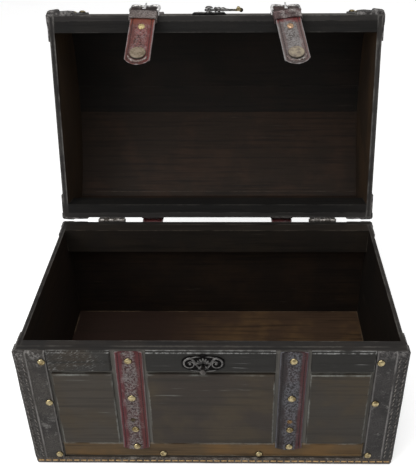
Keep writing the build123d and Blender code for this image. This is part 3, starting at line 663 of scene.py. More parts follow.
for end, side in sides:
    x = side * strap_x
    strap = drawn("hide_front_strap_" + end, strap_section,
                  [((x + (z - 68) * 0.011, -y, z), (1, 0, 0), ahead_of, 1, -lead)
                   for y, z, lead in front_run])
    crumpled(strap, 9, 0.5)
    modified(strap, "SUBSURF", levels=1, render_levels=1)
    *colours, look = front_hides[end]
    settled(strap, hide("hide_of_front_strap_" + end, *colours, edges=strap_edge, **look), "base",
            "red_leather", "front_strap_" + end)
    strap = drawn("hide_rear_strap_" + end, [(u, v * 0.8) for u, v in strap_section],
                  [((x, 90.5, z), (-1, 0, 0), behind, 1, max(4 - k, 0)) for k, z in enumerate(rear_run)])
    crumpled(strap, 9, 0.4)
    settled(strap, hide("hide_of_rear_strap_" + end, *red_hide, edges=strap_edge, wear=0.6), "base",
            "red_leather", "rear_strap_" + end)


# Nails: domed brass upholstery nails, dulled to a warm olive gold in the hollows of their
# hammered heads, hold the bands, straps and foot binding. A larger stud sits on each front
# strap, with a small dark or coppery tack below it.
def aged(name, bright, dull, size=2.0, on_lid=False, gloss=0.28, pits=0.4, metallic=1.0, raised=None,
         foot=None, inner=None):
    """Old metal: bright where it is rubbed, dull and a little pitted elsewhere. raised is how far
    in front the hollows and the tops of a relief lie, for black hollows under rubbed tops;
    foot names the number that a turned head carries from its foot up, and where the painted shade
    round its foot ends; inner is how far from the chest's middle a painted near-white highlight
    reaches, on the side that faces the middle."""
    finish = Finish(name, on_lid)
    x, y, _ = finish.axes()
    tarnish = finish.cloudy(finish.place, size, 4, 0.65)
    pitted = finish.cloudy(finish.place, size * 0.3, 3, 0.6)
    share = finish.fade(tarnish, 0.35, 0.68)
    if raised:
        share = finish.larger(share * 0.75, finish.fade(-1 * y, raised[1], raised[0]))
    colour = finish.mixed(share, bright, dull)
    # Painted highlight: near white on the side of a piece nearest the chest's middle.
    if inner:
        colour = finish.mixed(finish.fade(abs(x), inner[1], inner[0]) * 0.9, colour, paint(240, 238, 236))
    # Painted shade round the foot of a head, where it meets the surface under it.
    if foot:
        painted_foot_shade = finish.fade(finish.own(foot[0]), foot[2], foot[1])
        colour = finish.mixed(painted_foot_shade * 0.9, colour, paint(30, 25, 18))
    return finish.surface(colour, gloss + 0.3 * share, metallic, tarnish * 0.6 + pitted * pits, 0.25)


def nail_heads(name, spots, material, body, slot, *replaced, radius=3.15, height=1.9, on_lid=False):
    """Domes on the surface at these spots, each a point and the way it faces, driven in a
    little aslant and turned every way."""
    bpy.ops.object.select_all(action="DESELECT")
    bpy.ops.mesh.primitive_uv_sphere_add(segments=14, ring_count=10, radius=1)
    head = bpy.context.object
    bpy.ops.object.mode_set(mode="EDIT")
    bpy.ops.mesh.select_all(action="SELECT")
    bpy.ops.mesh.bisect(plane_co=(0, 0, 0), plane_no=(0, 0, 1), clear_inner=True, use_fill=True)
    bpy.ops.object.mode_set(mode="OBJECT")
    risen = head.data.attributes.new("rise", "FLOAT", "POINT")
    for vertex in head.data.vertices:
        risen.data[vertex.index].value = vertex.co.z
    head.scale = (radius * mm, radius * mm, height * mm)
    bpy.ops.object.transform_apply(location=False, rotation=False, scale=True)
    copies = []
    for index, (point, facing) in enumerate(spots):
        copy = head.copy()
        copy.data = head.data.copy()
        scene.collection.objects.link(copy)
        facing_it = Vector(facing).to_track_quat("Z", "Y").to_matrix().to_4x4()
        tilt = Matrix.Rotation(math.radians(4) * math.sin(index * 2.4), 4, "X")
        spun = Matrix.Rotation(index * 1.3, 4, "Z")
        copy.matrix_world = Matrix.Translation(Vector(point) * mm) @ facing_it @ tilt @ spun
        copies.append(copy)
    bpy.data.objects.remove(head)
    settled(joined(name, copies), material, body, slot, *replaced, on_lid=on_lid, angle=60)


brass = (paint(202, 186, 144), paint(106, 88, 54))
# The nails carry painted shade round their feet.
nail_tarnish_and_foot_shade = {"size": 3.4, "gloss": 0.13, "pits": 0.06, "foot": ("rise", 0.22, 0.62)}
spots = []
for _, side in sides:
    for z in (11.5, 70.2, 112.0):
        spots += [((side * 124.7, -90.6, z), ahead_of), ((side * 124.7, 91.7, z), behind),
                  ((side * 145.0, -70.2, z), (side, 0, 0)), ((side * 145.0, 70.2, z), (side, 0, 0))]
    spots += [((side * strap_x, y, z), ahead_of) for y, z in ((-90.4, 21.0), (-89.2, 39.4), (-89.2, 112.0))]
    spots += [((side * strap_x, 91.9, z), behind) for z in (25.4, 70.1)]
spots += [((x, -88.7, 10.4), ahead_of) for x in (-40.6, 37.0)]
nail_heads("nail_heads_of_base", spots, aged("nail_brass", *brass, **nail_tarnish_and_foot_shade), "base", "brass",
           "base_nails")
nail_heads("magnet_studs", [((x, -89.3, 73.8), ahead_of) for x in (-61.2, 61.1)],
           aged("stud_brass", *brass, **nail_tarnish_and_foot_shade), "base", "brass", "strap_studs", radius=3.4)
iron = aged("tack_iron", paint(96, 84, 66), paint(30, 26, 22), size=1.2)
nail_heads("dark_tack", [((-62.2, -89.3, 49.9), ahead_of)], iron, "base", "antique_metal", radius=2.2,
           height=0.9)
copper = aged("tack_copper", paint(150, 120, 84), paint(64, 46, 32), size=1.2)
nail_heads("copper_tack", [((60.5, -89.3, 48.4), ahead_of)], copper, "base", "brass", radius=2.2,
           height=0.9)


# Leather edging of the lid: each end of the lid has a wide strip of the same black leather,
# folded over the vault's edge onto the end board, puckered where it meets the rim, with a sewn
# strip over the fold.
shoulder, rim = 184.5, 121.3
spring = math.asin(vault_half / vault_radius)


def round_vault(x, angle, proud=0.0):
    """A point on the vault's leather, this far round from its top, and the way it faces."""
    out = Vector((0, math.sin(angle), math.cos(angle)))
    return Vector((x, vault_middle, vault_centre)) + out * (vault_radius + proud), out


def over_the_lid(front_from, back_to, x=0.0, swell=None):
    """Places from the lid's front rim up over the vault and down the back, with the lid shut."""
    step, near_rim, turn = 4.0, 132, 2.5
    front, back = vault_middle - vault_half, vault_middle + vault_half
    mitre = (math.pi / 2 - spring) / 2
    lean = math.pi / 2 - mitre
    slanted = [Vector((0, way * math.sin(lean), math.cos(lean))) / math.cos(mitre) for way in (-1, 1)]
    run = []
    z = front_from
    while z < shoulder - 3:
        run.append(((x, front, z), ahead_of))
        z += step if z > near_rim else 1.5
    run += [((x, front, shoulder - turn), ahead_of), ((x, front, shoulder), slanted[0])]
    count = int(2 * spring * vault_radius / step)
    run += [round_vault(x, -spring + 2 * spring * k / count) for k in range(1, count)]
    run += [((x, back, shoulder), slanted[1]), ((x, back, shoulder - turn), behind)]
    z = shoulder - turn - step
    while z > back_to:
        run.append(((x, back, z), behind))
        z -= step
    run.append(((x, back, back_to), behind))
    return [(point, (1, 0, 0), out * (swell(point) if swell else 1)) for point, out in run]


def puckered(point):
    """The leather stands off in a soft roll where it is gathered at the front rim."""
    height = point[2] - rim
    if point[1] > -80 or height > 14:
        return 1
    return 1 + 1.5 * math.exp(-((height - 3.2) / 2.6) ** 2) + 0.5 * math.exp(-((height - 9) / 2.0) ** 2)


edging_rows = [(121.9, 0.03), (121.9, 1.0), (122.4, 1.5), (128, 1.7), (134.6, 1.5), (135.4, 2.0),
               (136.6, 2.2), (140, 2.0), (143.6, 1.8), (145.4, 1.4), (146.3, 0.4), (146.45, -1.2),
               (146.4, -4.2), (145.8, -4.8), (144.7, -4.8), (144.7, 0.03)]
fold_inside, fold_width, fold_thick = 144.66, 22, 1.3
for end, side in sides:
    node = "lid_edging_" + end
    edging_hide = hide("hide_of_" + node, *black_hide, wear=0.75, on_lid=True, frayed=(150, 118))
    edging = drawn("hide_" + node, [(side * u, v) for u, v in edging_rows],
                   over_the_lid(rim + 0.1, rim + 0.1, swell=puckered))
    crumpled(edging, 12, 0.7)
    settled(edging, edging_hide, "lid", "black_leather", node, on_lid=True)
    bend = spring - 0.1
    arc = [round_vault(0, -bend + bend * k / 9)[0] for k in range(19)]
    outline = [(vault_middle - vault_half, rim - 40), (vault_middle - vault_half, shoulder)]
    outline += [(point.y, point.z) for point in arc]
    outline += [(vault_middle + vault_half, shoulder), (vault_middle + vault_half, rim - 40)]
    bpy.ops.object.select_all(action="DESELECT")
    bpy.ops.mesh.primitive_circle_add(vertices=len(outline), radius=mm, fill_type="NGON")
    flange = bpy.context.object
    flange.name = "hide_lid_end_fold_" + end
    for vertex, (y, z) in zip(flange.data.vertices, outline):
        vertex.co = Vector((side * fold_inside, y, z)) * mm
    bpy.ops.object.mode_set(mode="EDIT")
    bpy.ops.mesh.select_all(action="SELECT")
    bpy.ops.mesh.inset(thickness=fold_width * mm)
    bpy.ops.mesh.delete(type="FACE")
    bpy.ops.mesh.select_all(action="SELECT")
    bpy.ops.mesh.bisect(plane_co=(0, 0, (rim + 0.1) * mm), plane_no=(0, 0, 1), clear_inner=True)
    bpy.ops.mesh.select_all(action="SELECT")
    bpy.ops.mesh.normals_make_consistent(inside=False)
    bpy.ops.mesh.subdivide(number_cuts=2)
    bpy.ops.object.mode_set(mode="OBJECT")
    outward = flange.data.polygons[0].normal.x * side
    modified(flange, "SOLIDIFY", thickness=fold_thick * mm, offset=1 if outward > 0 else -1)
    modified(flange, "BEVEL", width=0.4 * mm, segments=2, limit_method="ANGLE")
    settled(flange, edging_hide, "lid", "black_leather", on_lid=True)


# Joints of the vault: the boards of the vault meet on thin loose tongues of pine, let into their
# edges and glued, so that no light comes through the joints as the wood shrinks. The tongues
# take the darker copy of the stain that carries the lid's painted shade.
half_gap, tongue_end = 0.15, 140
tongue_stain = stained("glued_tongues", [[-tongue_end, vault_middle - vault_half, rim],
                                         [tongue_end, vault_middle + vault_half, rim + 90]],
                       *stain_with_painted_shade, on_lid=True)
low, high = shut_box("lid_ridge_stave")
for name, y in (("front", low[1] - half_gap), ("back", high[1] + half_gap)):
    run = []
    for x in (-tongue_end, tongue_end):
        point, out = round_vault(x, math.asin((y - vault_middle) / vault_radius))
        run.append((point, (0, out.z, -out.y), out))
    tongue = drawn("vault_tongue_" + name, [(-0.8, -3.6), (0.8, -3.6), (0.8, -1.5), (-0.8, -1.5)], run)
    settled(tongue, tongue_stain, "lid", "dark_wood", on_lid=True)


# Straps over the lid: the front straps go on over the lid in the same red leather, from the
# buckles to the back, where a loose tongue of leather carries each one down past the hinges.
hinge_bend = [(92.3, 111, 0), (92.35, 113, 0), (92.5, 115.5, 4), (93.0, 117.4, 24), (94.0, 118.7, 46),
              (95.6, 119.4, 68), (97.6, 119.4, 90), (100, 118.9, 104), (103, 118.1, 104.3)]
for end, side in sides:
    x = side * strap_x
    node = "lid_strap_" + end
    strap = drawn("hide_" + node, strap_section, over_the_lid(126.2, 124.4, x=x))
    crumpled(strap, 9, 0.4)
    # Near the rim the lid straps are darkened with painted shade, under the buckles.
    strap_hide = hide("hide_of_" + node, *red_hide, edges=strap_edge, wear=0.7, middle=0.7, on_lid=True,
                      dark_past=132)
    settled(strap, strap_hide, "lid", "red_leather", node, on_lid=True)
    run = [((x, y, z), (-1, 0, 0), (0, math.cos(math.radians(turn)), -math.sin(math.radians(turn))))
           for y, z, turn in hinge_bend]
    bridge = drawn("hide_hinge_tongue_" + end, [(u * 0.9, v * 0.7) for u, v in strap_section], run)
    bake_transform(bridge, "base", "lid", start=(x * mm, 0.0928, 0.1168), end=(x * mm, 0.0974, 0.1196))
    settled(bridge, hide("hide_of_tongue_" + end, *red_hide, edges=9.6, wear=0.5), None, "red_leather")


# Strap tails: each lid strap ends in a tail folded round the buckle's bar and held by a keeper of
# leather. The left one is red, the right one scraped grey, and each has a brass or copper rivet
# and a round magnet in a pale lip near its tip.
def ringed(count=8):
    """A round section, one unit in radius."""
    return [(math.cos(math.tau * k / count), math.sin(math.tau * k / count)) for k in range(count)]


def turned(name, profile, base, way, count=16):
    """A turned piece: its profile is (height, radius) pairs along the way it points."""
    way = Vector(way).normalized()
    across = way.orthogonal().normalized()
    out = way.cross(across)
    return drawn(name, ringed(count), [(Vector(base) + way * height, across * radius, out * radius)
                                          for height, radius in profile])


rightward = Vector((1, 0, 0))
drop = math.radians(45)
hanging, facing = Vector((0, math.sin(drop), -math.cos(drop))), Vector((0, -math.cos(drop), -math.sin(drop)))
bar_y, bar_z, tail_edge = -96.0, 121.8, 10.85
tail_rows = mirrored([(tail_edge, -0.5), (tail_edge, 0.5), (10.4, 1.05), (9.6, 1.2), (8.9, 1.15),
                      (8.3, 0.9), (7.5, 1.25)], (0, 1.35)) + [(10.3, -1.15), (-10.3, -1.15)]
tail_lengths = [7.5, *range(9, 21, 2), *range(21, 28), *range(29, 59, 3), 58, 60, 61.2, 61.9, 62.2]
fold_rows = mirrored([(tail_edge, -0.5), (tail_edge, 0.3), (10.3, 0.7)]) + [(10.3, -0.7), (-10.3, -0.7)]
fold_loop = mirrored([(-1.25, 9.6), (-1.35, 6.5), (-1.7, 3.6), (-2.0, 1.2), (-1.9, -0.6), (-1.25, -1.8)],
                     (0, -2.15))
keeper_corner = [(10.4, 2.95, 0, 1), (11.3, 2.65, 0.7, 0.7), (11.6, 1.75, 1, 0)]
keeper_back = [(0, -2.95, 0, -1), *((u, -n, a, -b) for u, n, a, b in keeper_corner)]
keeper_front = [*keeper_corner[::-1], (6, 3.05, 0, 1), (0, 3.15, 0, 1), (-6, 3.05, 0, 1),
                *((-u, n, -a, b) for u, n, a, b in keeper_corner)]
keeper_ring = keeper_back + keeper_front + [(-u, -n, -a, -b) for u, n, a, b in keeper_corner[::-1]]
keeper_ring.append((-0.2, -2.95, 0, -1))
keeper_rows = [(-5.0, -0.45), (-5.0, 0.3), (-4.5, 0.62), (-3.7, 0.4), (2.0, 0.4), (2.8, 0.62), (3.3, 0.3),
               (3.3, -0.45)]
magnet_profile = [(-0.4, 6.9), (1.2, 7.0), (1.75, 6.6), (1.95, 6.0), (1.8, 5.3), (1.8, 3.4), (1.95, 2.4),
                  (2.0, 0.4)]
tail_looks = {
    "left": {"slant": -3, "hide": (paint(88, 50, 43), paint(34, 20, 18), paint(140, 134, 134)),
             "look": {"tint": paint(136, 60, 56), "middle": 0.3, "top": (paint(112, 58, 44), 5, 15),
                      "flanks": (paint(78, 44, 40), paint(92, 40, 38))},
             "keeper": paint(112, 102, 98), "rivet": paint(206, 190, 138),
             "magnet": (paint(136, 122, 104), paint(98, 86, 68))},
    "right": {"slant": 8.5, "hide": (paint(108, 103, 100), paint(42, 36, 34), paint(146, 145, 144)),
              "look": {"tint": paint(98, 86, 84), "middle": 0.5, "top": (paint(104, 42, 42), 5, 10),
                       "flanks": (paint(88, 74, 72), paint(98, 74, 72))},
              "keeper": paint(104, 80, 80), "rivet": paint(196, 158, 130),
              "magnet": (paint(150, 138, 118), paint(108, 98, 88))}}
for end, side in sides:
    own = tail_looks[end]
    root, free_end = "tail_root_" + end, "tail_end_" + end
    bar = Vector((side * strap_x, bar_y, bar_z))
    slant = math.radians(own["slant"])
    onward = hanging * math.cos(slant) + rightward * math.sin(slant)
    sideways = rightward * math.cos(slant) - hanging * math.sin(slant)

    def on_tail(length, aside=0.0, proud=0.0):
        """A point on the hanging tail, this far from the bar."""
        return bar + onward * length + sideways * aside + facing * proud

    run = []
    for length in tail_lengths:
        lead = 7.5 * min(1.0, (length - 46) / 15) if length > 46 else 0
        thick = 1.25 if length < 22 else 1.0
        tip = length > 62
        run.append((on_tail(length), sideways, facing * thick * (0.8 if tip else 1), 0.985 if tip else 1,
                    lead))
    tail = drawn("hide_tail_" + end, tail_rows, run)
    crumpled(tail, 9, 0.45)
    modified(tail, "SUBSURF", levels=1, render_levels=1)
    tail_hide = hide("hide_of_tail_" + end, *own["hide"], edges=tail_edge, wear=0.65, on_lid=True,
                     tip=(54.7, 7.5), **own["look"])
    settled(tail, tail_hide, None, "red_leather", root, free_end, on_lid=True)
    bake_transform(tail, root, free_end, start=swung_open @ (on_tail(21.5) * mm),
             end=swung_open @ (on_tail(27) * mm))

    run = []
    for index, (proud, length) in enumerate(fold_loop):
        a, b = fold_loop[max(index - 1, 0)], fold_loop[min(index + 1, len(fold_loop) - 1)]
        way = Vector((b[0] - a[0], b[1] - a[1])).normalized()
        run.append((bar + facing * proud + hanging * length, rightward, facing * -way.y + hanging * way.x))
    fold = drawn("hide_fold_" + end, fold_rows, run)
    bpy.ops.object.select_all(action="DESELECT")
    bpy.ops.mesh.primitive_cube_add(size=1, location=(bar + Vector((0, 0, 1.5))) * mm,
                                    scale=(4.0 * mm, 12 * mm, 8 * mm))
    prong_slot = bpy.context.object
    modified(fold, "BOOLEAN", object=prong_slot, operation="DIFFERENCE", solver="EXACT")
    bpy.data.objects.remove(prong_slot)
    fold_hide = hide("hide_of_fold_" + end, paint(56, 40, 37), paint(26, 20, 18), paint(120, 112, 108),
                     wear=0.6, on_lid=True)
    settled(fold, fold_hide, root, "red_leather", on_lid=True)

    keeper = drawn("hide_keeper_" + end, keeper_rows, [
        (on_tail(8.3, u, n), onward, sideways * across + facing * out) for u, n, across, out in keeper_ring])
    crumpled(keeper, 6, 0.3)
    keeper_hide = hide("hide_of_keeper_" + end, own["keeper"], paint(46, 37, 35), paint(176, 170, 166),
                       wear=0.75, on_lid=True)
    settled(keeper, keeper_hide, root, "red_leather", "tail_keeper_" + end, on_lid=True)

    rivet_metal = aged("rivet_brass_" + end, own["rivet"], paint(120, 98, 60), size=1.2, on_lid=True,
                       metallic=0.6)
    nail_heads("rivet_" + end, [(on_tail(19.8, proud=1.55), facing)], rivet_metal, root, "brass", radius=2.95,
               height=0.9, on_lid=True)
    ground, dark, _ = own["hide"]
    # The swelling is coloured dark all over, so that the crescent of it below the magnet is painted shadow.
    swelling_shadow_hide = hide("hide_of_swelling_" + end, dark, dark, ground, wear=0.5, on_lid=True)
    nail_heads("magnet_swelling_" + end, [(on_tail(49.6, proud=0.8), facing)], swelling_shadow_hide, free_end,
               "red_leather", radius=7.4, height=0.9, on_lid=True)
    magnet = turned("magnet_" + end, magnet_profile, on_tail(48.4, proud=0.5), facing - onward * 0.15, 28)
    # The magnet's foot is darkened with painted shade, for the shadow it casts on the tail.
    magnet_metal_and_shade = aged("magnet_metal_and_shade_" + end, *own["magnet"], size=3.4, on_lid=True, gloss=0.5, metallic=0.3,
                        pits=0.5, foot=("along", 1.5, 2.4))
    settled(magnet, magnet_metal_and_shade, free_end, "antique_metal", on_lid=True, angle=60)
    run = []
    for k in range(15):
        angle = math.radians(-70 + 10 * k)
        outward = onward * math.cos(angle) + sideways * math.sin(angle)
        thick = 0.25 + 0.7 * math.cos(angle)
        run.append((on_tail(48.4, proud=1.25) + outward * 8.6, facing * thick * 0.9, outward * thick))
    lip = drawn("magnet_lip_" + end, ringed(), run)
    crumpled(lip, 3, 0.3)
    lip_hide = hide("hide_of_lip_" + end, paint(128, 112, 106), paint(60, 46, 42), paint(196, 190, 184),
                    wear=0.9, on_lid=True)
    settled(lip, lip_hide, free_end, "red_leather", on_lid=True, angle=60)


# Nails of the lid: the same brass nails hold the lid's edging at its front, back and top, and the
# straps over the vault.
nail_x, spots = 124.6, []
for _, side in sides:
    x = side * nail_x
    for share in (0.174, 0.76):
        z = rim + (shoulder - rim) * share
        spots += [((x, -93.5, z), ahead_of), ((x, 92.2, z), behind)]
    spots += [round_vault(x, spring * share, 1.6) for share in (-0.6, 0.0, 0.6)]
    spots += [round_vault(side * strap_x, spring * share, 1.9) for share in (-0.75, -0.25, 0.25, 0.75)]
nail_heads("nail_heads_of_lid", spots, aged("nail_brass_of_lid", *brass, on_lid=True, **nail_tarnish_and_foot_shade), "lid",
           "brass", "lid_nails", on_lid=True)


# Lock plate and latch plate: two scrolled escutcheons cast in blackened silvery metal. Leafy S
# scrolls run out to an eye at each end from a fan of petals. The larger one carries the catch
# pin, the other the hook's pivot.
black_silver = (paint(128, 126, 124), paint(24, 23, 23))
plate_x = -5.5


def petal(name, angle, start, length, shape):
    """A pointed petal: shape is (share of the length, thickness) pairs."""
    way = Vector((math.sin(angle), 0, math.cos(angle)))
    across = way.cross(behind)
    return drawn(name, ringed(), [(start + way * length * share, across * thick, ahead_of * 0.8 * thick)
                                   for share, thick in shape])


def scrolled_plate(name, width, height):
    """The escutcheon on the XZ plane at the origin, facing the front, in millimetres."""
    eye, lobe = height * 0.38, height * 0.26
    eye_x = width / 2 - eye
    rounds = [(eye_x, 0, eye), (-eye_x, 0, eye), (0, height / 2 - lobe, lobe), (0, lobe - height / 2, lobe)]
    outline = []
    for k in range(80):
        ray = (math.cos(math.tau * k / 80), math.sin(math.tau * k / 80))
        reach = min(width * 0.31 / max(abs(ray[0]), 1e-6), height * 0.33 / max(abs(ray[1]), 1e-6))
        for x, z, radius in rounds:
            middle = x * ray[0] + z * ray[1]
            inside = radius ** 2 - x * x - z * z + middle ** 2
            if inside > 0:
                reach = max(reach, middle + math.sqrt(inside))
        reach *= 1 - 0.018 * math.cos(math.tau * k / 5)
        outline.append((ray[0] * reach, ray[1] * reach))
    pieces = [drawn(name + "_ground", outline, [((0, y, 0), (share, 0, 0), (0, 0, share))
                                               for y, share in ((0, 1), (-0.7, 1), (-1.1, 0.97))])]
    for _, side in sides:
        track = []
        for k in range(31):
            share = k / 30
            if share < 0.4:
                way = share / 0.4
                x = 1.2 + (eye_x - 1.2) * way
                z = -height * 0.3 + height * 0.62 * (3 * way ** 2 - 2 * way ** 3)
            else:
                spin = (share - 0.4) / 0.6
                angle = math.pi / 2 - spin * math.tau * 1.15
                radius = (eye - 1.0) * (1 - 0.72 * spin)
                x, z = eye_x + radius * math.cos(angle), radius * math.sin(angle)
            track.append(Vector((side * x, -1.15, z)))
        run = []
        for k, point in enumerate(track):
            share = k / 30
            thick = 0.62 + 0.5 * math.sin(math.pi * min(share * 1.6, 1)) * (1 - share * 0.5)
            way = (track[min(k + 1, 30)] - track[max(k - 1, 0)]).normalized()
            run.append((point, way.cross(behind) * thick, ahead_of * 0.75 * thick))
        pieces.append(drawn(name + "_scroll", ringed(), run))
        for start, stop, bow in ((0.40, 0.30, 0.65), (-0.40, -0.33, -0.65)):
            run = []
            for k in range(13):
                share, bulge = k / 12, math.sin(math.pi * k / 12)
                thick = 0.25 + 0.45 * bulge
                point = (side * (1.5 + (eye_x - 0.5) * share), -1.1,
                         height * (start + (stop - start) * share) + bow * bulge)
                run.append((point, (0, 0, thick), ahead_of * 0.8 * thick))
            pieces.append(drawn(name + "_leaf", ringed(), run))
        pieces.append(turned(name + "_eye", [(0.6, 1.15), (1.5, 1.1), (1.9, 0.8), (2.1, 0.35)],
                             (side * eye_x, 0, 0), ahead_of, 10))
    for k in range(7):
        pieces.append(petal(name + "_petal", math.radians(-75 + 25 * k), Vector((0, -1.1, -height * 0.02)),
                            height * (0.36 - 0.05 * abs(k - 3) / 3),
                            ((0.15, 0.35), (0.4, 0.5), (0.65, 0.8), (0.85, 0.85), (0.97, 0.55), (1.0, 0.2))))
    for angle in (145, 180, 215):
        pieces.append(petal(name + "_foot_petal", math.radians(angle), Vector((0, -1.1, 0)), height * 0.4,
                            ((0.2, 0.3), (0.55, 0.75), (0.85, 0.7), (1.0, 0.2))))
    return joined(name, pieces)


lock = scrolled_plate("cast_lock_plate", 32, 17)
lock.data.transform(Matrix.Translation(Vector((plate_x, -90.5, 111.5)) * mm))
settled(lock, aged("lock_silver", *black_silver, size=1.8, gloss=0.32, raised=(91.7, 92.2)), "base",
        "antique_metal", "lock_plate", angle=55)
pin = turned("catch_pin_turned", [(-1.6, 1.5), (4.6, 1.5), (4.65, 2.4), (5.1, 2.5), (5.4, 2.0), (5.5, 0.8)],
             (plate_x, -92.4, 108.5), ahead_of)
settled(pin, aged("pin_silver", paint(104, 100, 97), paint(34, 32, 31), size=1.4), "base", "antique_metal",
        "catch_pin", angle=55)
plate = scrolled_plate("cast_latch_plate", 30, 15)
plate.data.transform(Matrix.Translation(Vector((plate_x, -91.8, 130.3)) * mm)
                     @ Matrix.Diagonal((1, 1.3, 1, 1)))
stud = turned("latch_stud", [(0, 3.0), (2.75, 2.9), (2.8, 1.4), (5.2, 1.4), (5.25, 3.3), (5.9, 3.5),
                             (6.7, 2.9), (7.3, 1.9), (7.5, 0.6)], (plate_x, -91.85, 129.3), ahead_of)
settled(joined("cast_latch_plate", [plate, stud]),
        aged("latch_silver", *black_silver, size=1.8, on_lid=True, raised=(93.2, 94.0)), "lid",
        "antique_metal", "latch_plate", on_lid=True, angle=55)


# Latch hook: a flat forged hook that turns on the stud, with a row of hammered beads along it. It
# lies to the right while the lid is open, and its leaf before the rolled end is rubbed to brass.
forging = Finish("hook_iron", on_lid=True)
x = forging.axes()[0]
tarnish = forging.cloudy(forging.place, 1.6, 4, 0.65)
share = forging.fade(tarnish, 0.35, 0.68)
along_hook = x + (tarnish - 0.5) * 2
colour = forging.mixed(share, *black_silver)
colour = forging.mixed(forging.fade(along_hook, 15.5, 18) * 0.9, colour, paint(164, 150, 112))
colour = forging.mixed(forging.fade(along_hook, 21.3, 22.3) * 0.9, colour, black_silver[1])
forged = forging.surface(colour, 0.3 + 0.3 * share, 1.0, tarnish, 0.25)
refinish("latch_hook", forged)
pivot = Vector((plate_x, -96.4, 129.3))
beads = [(3.9, 0.7, 0.5, 0), (4.5, 1.7, 1.6, 0), (5.6, 1.8, 2.3, 0), (7.0, 1.5, 1.7, 0), (8.6, 1.8, 2.4, 0),
         (10.4, 1.4, 1.5, 0), (12.2, 1.7, 2.0, 0), (13.8, 1.4, 1.5, 0), (15.0, 1.0, 0.8, 0),
         (17.4, 0.6, 0.5, 0)]
leaf = [(23.6, 0.6, 0.4, 0.1), (24.1, 1.9, 1.1, 0.6), (25.0, 2.6, 1.7, 1.1), (26.2, 2.5, 1.6, 1.0),
        (27.2, 1.9, 1.3, 0.5), (28.1, 0.8, 0.6, 0)]
raised = [drawn("forged", ringed(10), [(pivot + Vector((x, -proud, 0)), (0, 0, wide), ahead_of * thick)
                                         for x, wide, thick, proud in shape]) for shape in (beads, leaf)]
for z in (-3.2, 3.2):
    raised.append(turned("bead", [(-0.6, 0.5), (-0.4, 1.3), (0, 1.8), (0.4, 1.3), (0.6, 0.5)],
                         pivot + Vector((28.0, 0.6, z)), (0, 0, 1), 12))
settled(joined("forged_hook_relief", raised), forged, "latch_hook", "antique_metal", on_lid=True, angle=60)


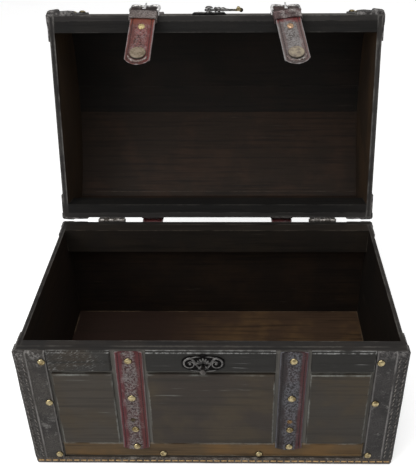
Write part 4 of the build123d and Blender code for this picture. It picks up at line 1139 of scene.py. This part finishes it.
# Buckles and prongs: cast frames with lumpy, worn top bars, held to the lid on short lugs, each
# with a round bar for the strap and a bright prong resting on the top bar.
lean = math.radians(9)
rise, front = (Matrix.Rotation(lean, 3, "X") @ way for way in (Vector((0, 0, 1)), ahead_of))
top_bar = 14.2
track = mirrored([(12.0, -1.7, 0.7), (12.05, 0, 0.9), (12.0, 4, 0.9), (11.9, 8, 0.85), (12.0, 11.4, 0.95),
                  (11.5, 13.2, 1.1), (10.2, 14.2, 1.45), (8, 14.4, 1.2), (5, 14.1, 1.0), (2.5, 14.2, 1.15)],
                 (0, 14.5, 1.5))
bar_section = [(-1, -0.6), (-0.6, -1), (0.6, -1), (1, -0.6), (1, 0.6), (0.6, 1), (-0.6, 1), (-1, 0.6)]
for end, side in sides:
    bar = Vector((side * strap_x, bar_y, bar_z))
    run = []
    for k, (u, w, fat) in enumerate(track):
        a, b = track[max(k - 1, 0)], track[min(k + 1, len(track) - 1)]
        way = (rightward * (b[0] - a[0]) + rise * (b[1] - a[1])).normalized()
        deep = 1.0 + 0.35 * fat + (0.75 if w > 12 and abs(u) > 3 else 0)
        run.append((bar + rightward * u + rise * w, way.cross(front) * 1.2 * fat, front * deep))
    pieces = [drawn("buckle_frame", bar_section, run),
              turned("buckle_bar", [(-12, 1.1), (-11, 1.2), (11, 1.2), (12, 1.1)], bar, rightward, 12)]
    for u in (-12.0, 12.0):
        pieces.append(turned("buckle_lug", [(0, 0.9), (4.25, 0.9)], bar + Vector((u, 0, 0.6)), behind, 8))
    pieces.append(turned("buckle_foot", [(-1.0, 1.0), (3.9, 1.0)], bar + rise * top_bar + ahead_of * 0.2,
                         behind, 8))
    buckle = joined("cast_buckle_" + end, pieces)
    modified(buckle, "BEVEL", width=0.2 * mm, segments=2, limit_method="ANGLE")
    # Each frame's side nearest the middle takes a painted near-white highlight.
    buckle_silver_and_highlight = aged("buckle_silver_and_highlight_" + end, paint(186, 183, 180), paint(40, 37, 36), size=1.7,
                         on_lid=True, gloss=0.25, metallic=0.75, inner=(50, 52.5))
    settled(buckle, buckle_silver_and_highlight, "lid", "antique_metal", "buckle_" + end, on_lid=True, angle=50)
    tilt = lean + math.asin((1.2 + 1.0 + 0.15) / top_bar)
    up = Matrix.Rotation(tilt, 3, "X") @ Vector((0, 0, 1))
    prong = turned("prong_tongue", [(1.4, 1.15), (3, 1.05), (10, 0.9), (15, 0.8), (17.2, 0.75), (17.9, 0.5),
                                    (18.1, 0.2)], bar, up, 12)
    loop = turned("prong_ring", [(-1.35, 1.35), (-1.35, 1.95), (-1.1, 2.1), (1.1, 2.1), (1.35, 1.95),
                                 (1.35, 1.35)], bar, rightward, 16)
    prong_silver = aged("prong_silver_" + end, paint(244, 243, 242), paint(150, 148, 146), size=2.5,
                        on_lid=True, gloss=0.22, metallic=0.5)
    settled(joined("cast_prong_" + end, [prong, loop]), prong_silver, "prong_" + end, "antique_metal",
            "prong_" + end, on_lid=True, angle=50)


# Hinges: rolled steel butt hinges on the back, gone brown and dull, each leaf held by three small
# domed screws.
steel, screw_steel = (paint(128, 124, 120), paint(58, 53, 48)), (paint(150, 146, 140), paint(72, 66, 60))
for node in ("hinge_base_leaf_left", "hinge_base_leaf_right", "hinge_pins", "hinge_lid_leaf_left",
             "hinge_lid_leaf_right"):
    refinish(node, aged("steel_" + node, *steel, size=3, on_lid="lid" in node))
for end, side in sides:
    for body, places in (("base", ((-7.5, 112.5), (7.5, 112.5), (0, 107.5))),
                         ("lid", ((-7.5, 129.3), (7.5, 129.3), (0, 134.3)))):
        on_lid = body == "lid"
        screws = [((side * 99.3 + u, 91.45, z), behind) for u, z in places]
        steel_of = aged(f"screw_steel_of_{body}_{end}", *screw_steel, size=1.2, on_lid=on_lid)
        nail_heads(f"hinge_screws_of_{body}_{end}", screws, steel_of, body, "hinge_steel", radius=1.9,
                   height=0.7, on_lid=on_lid)
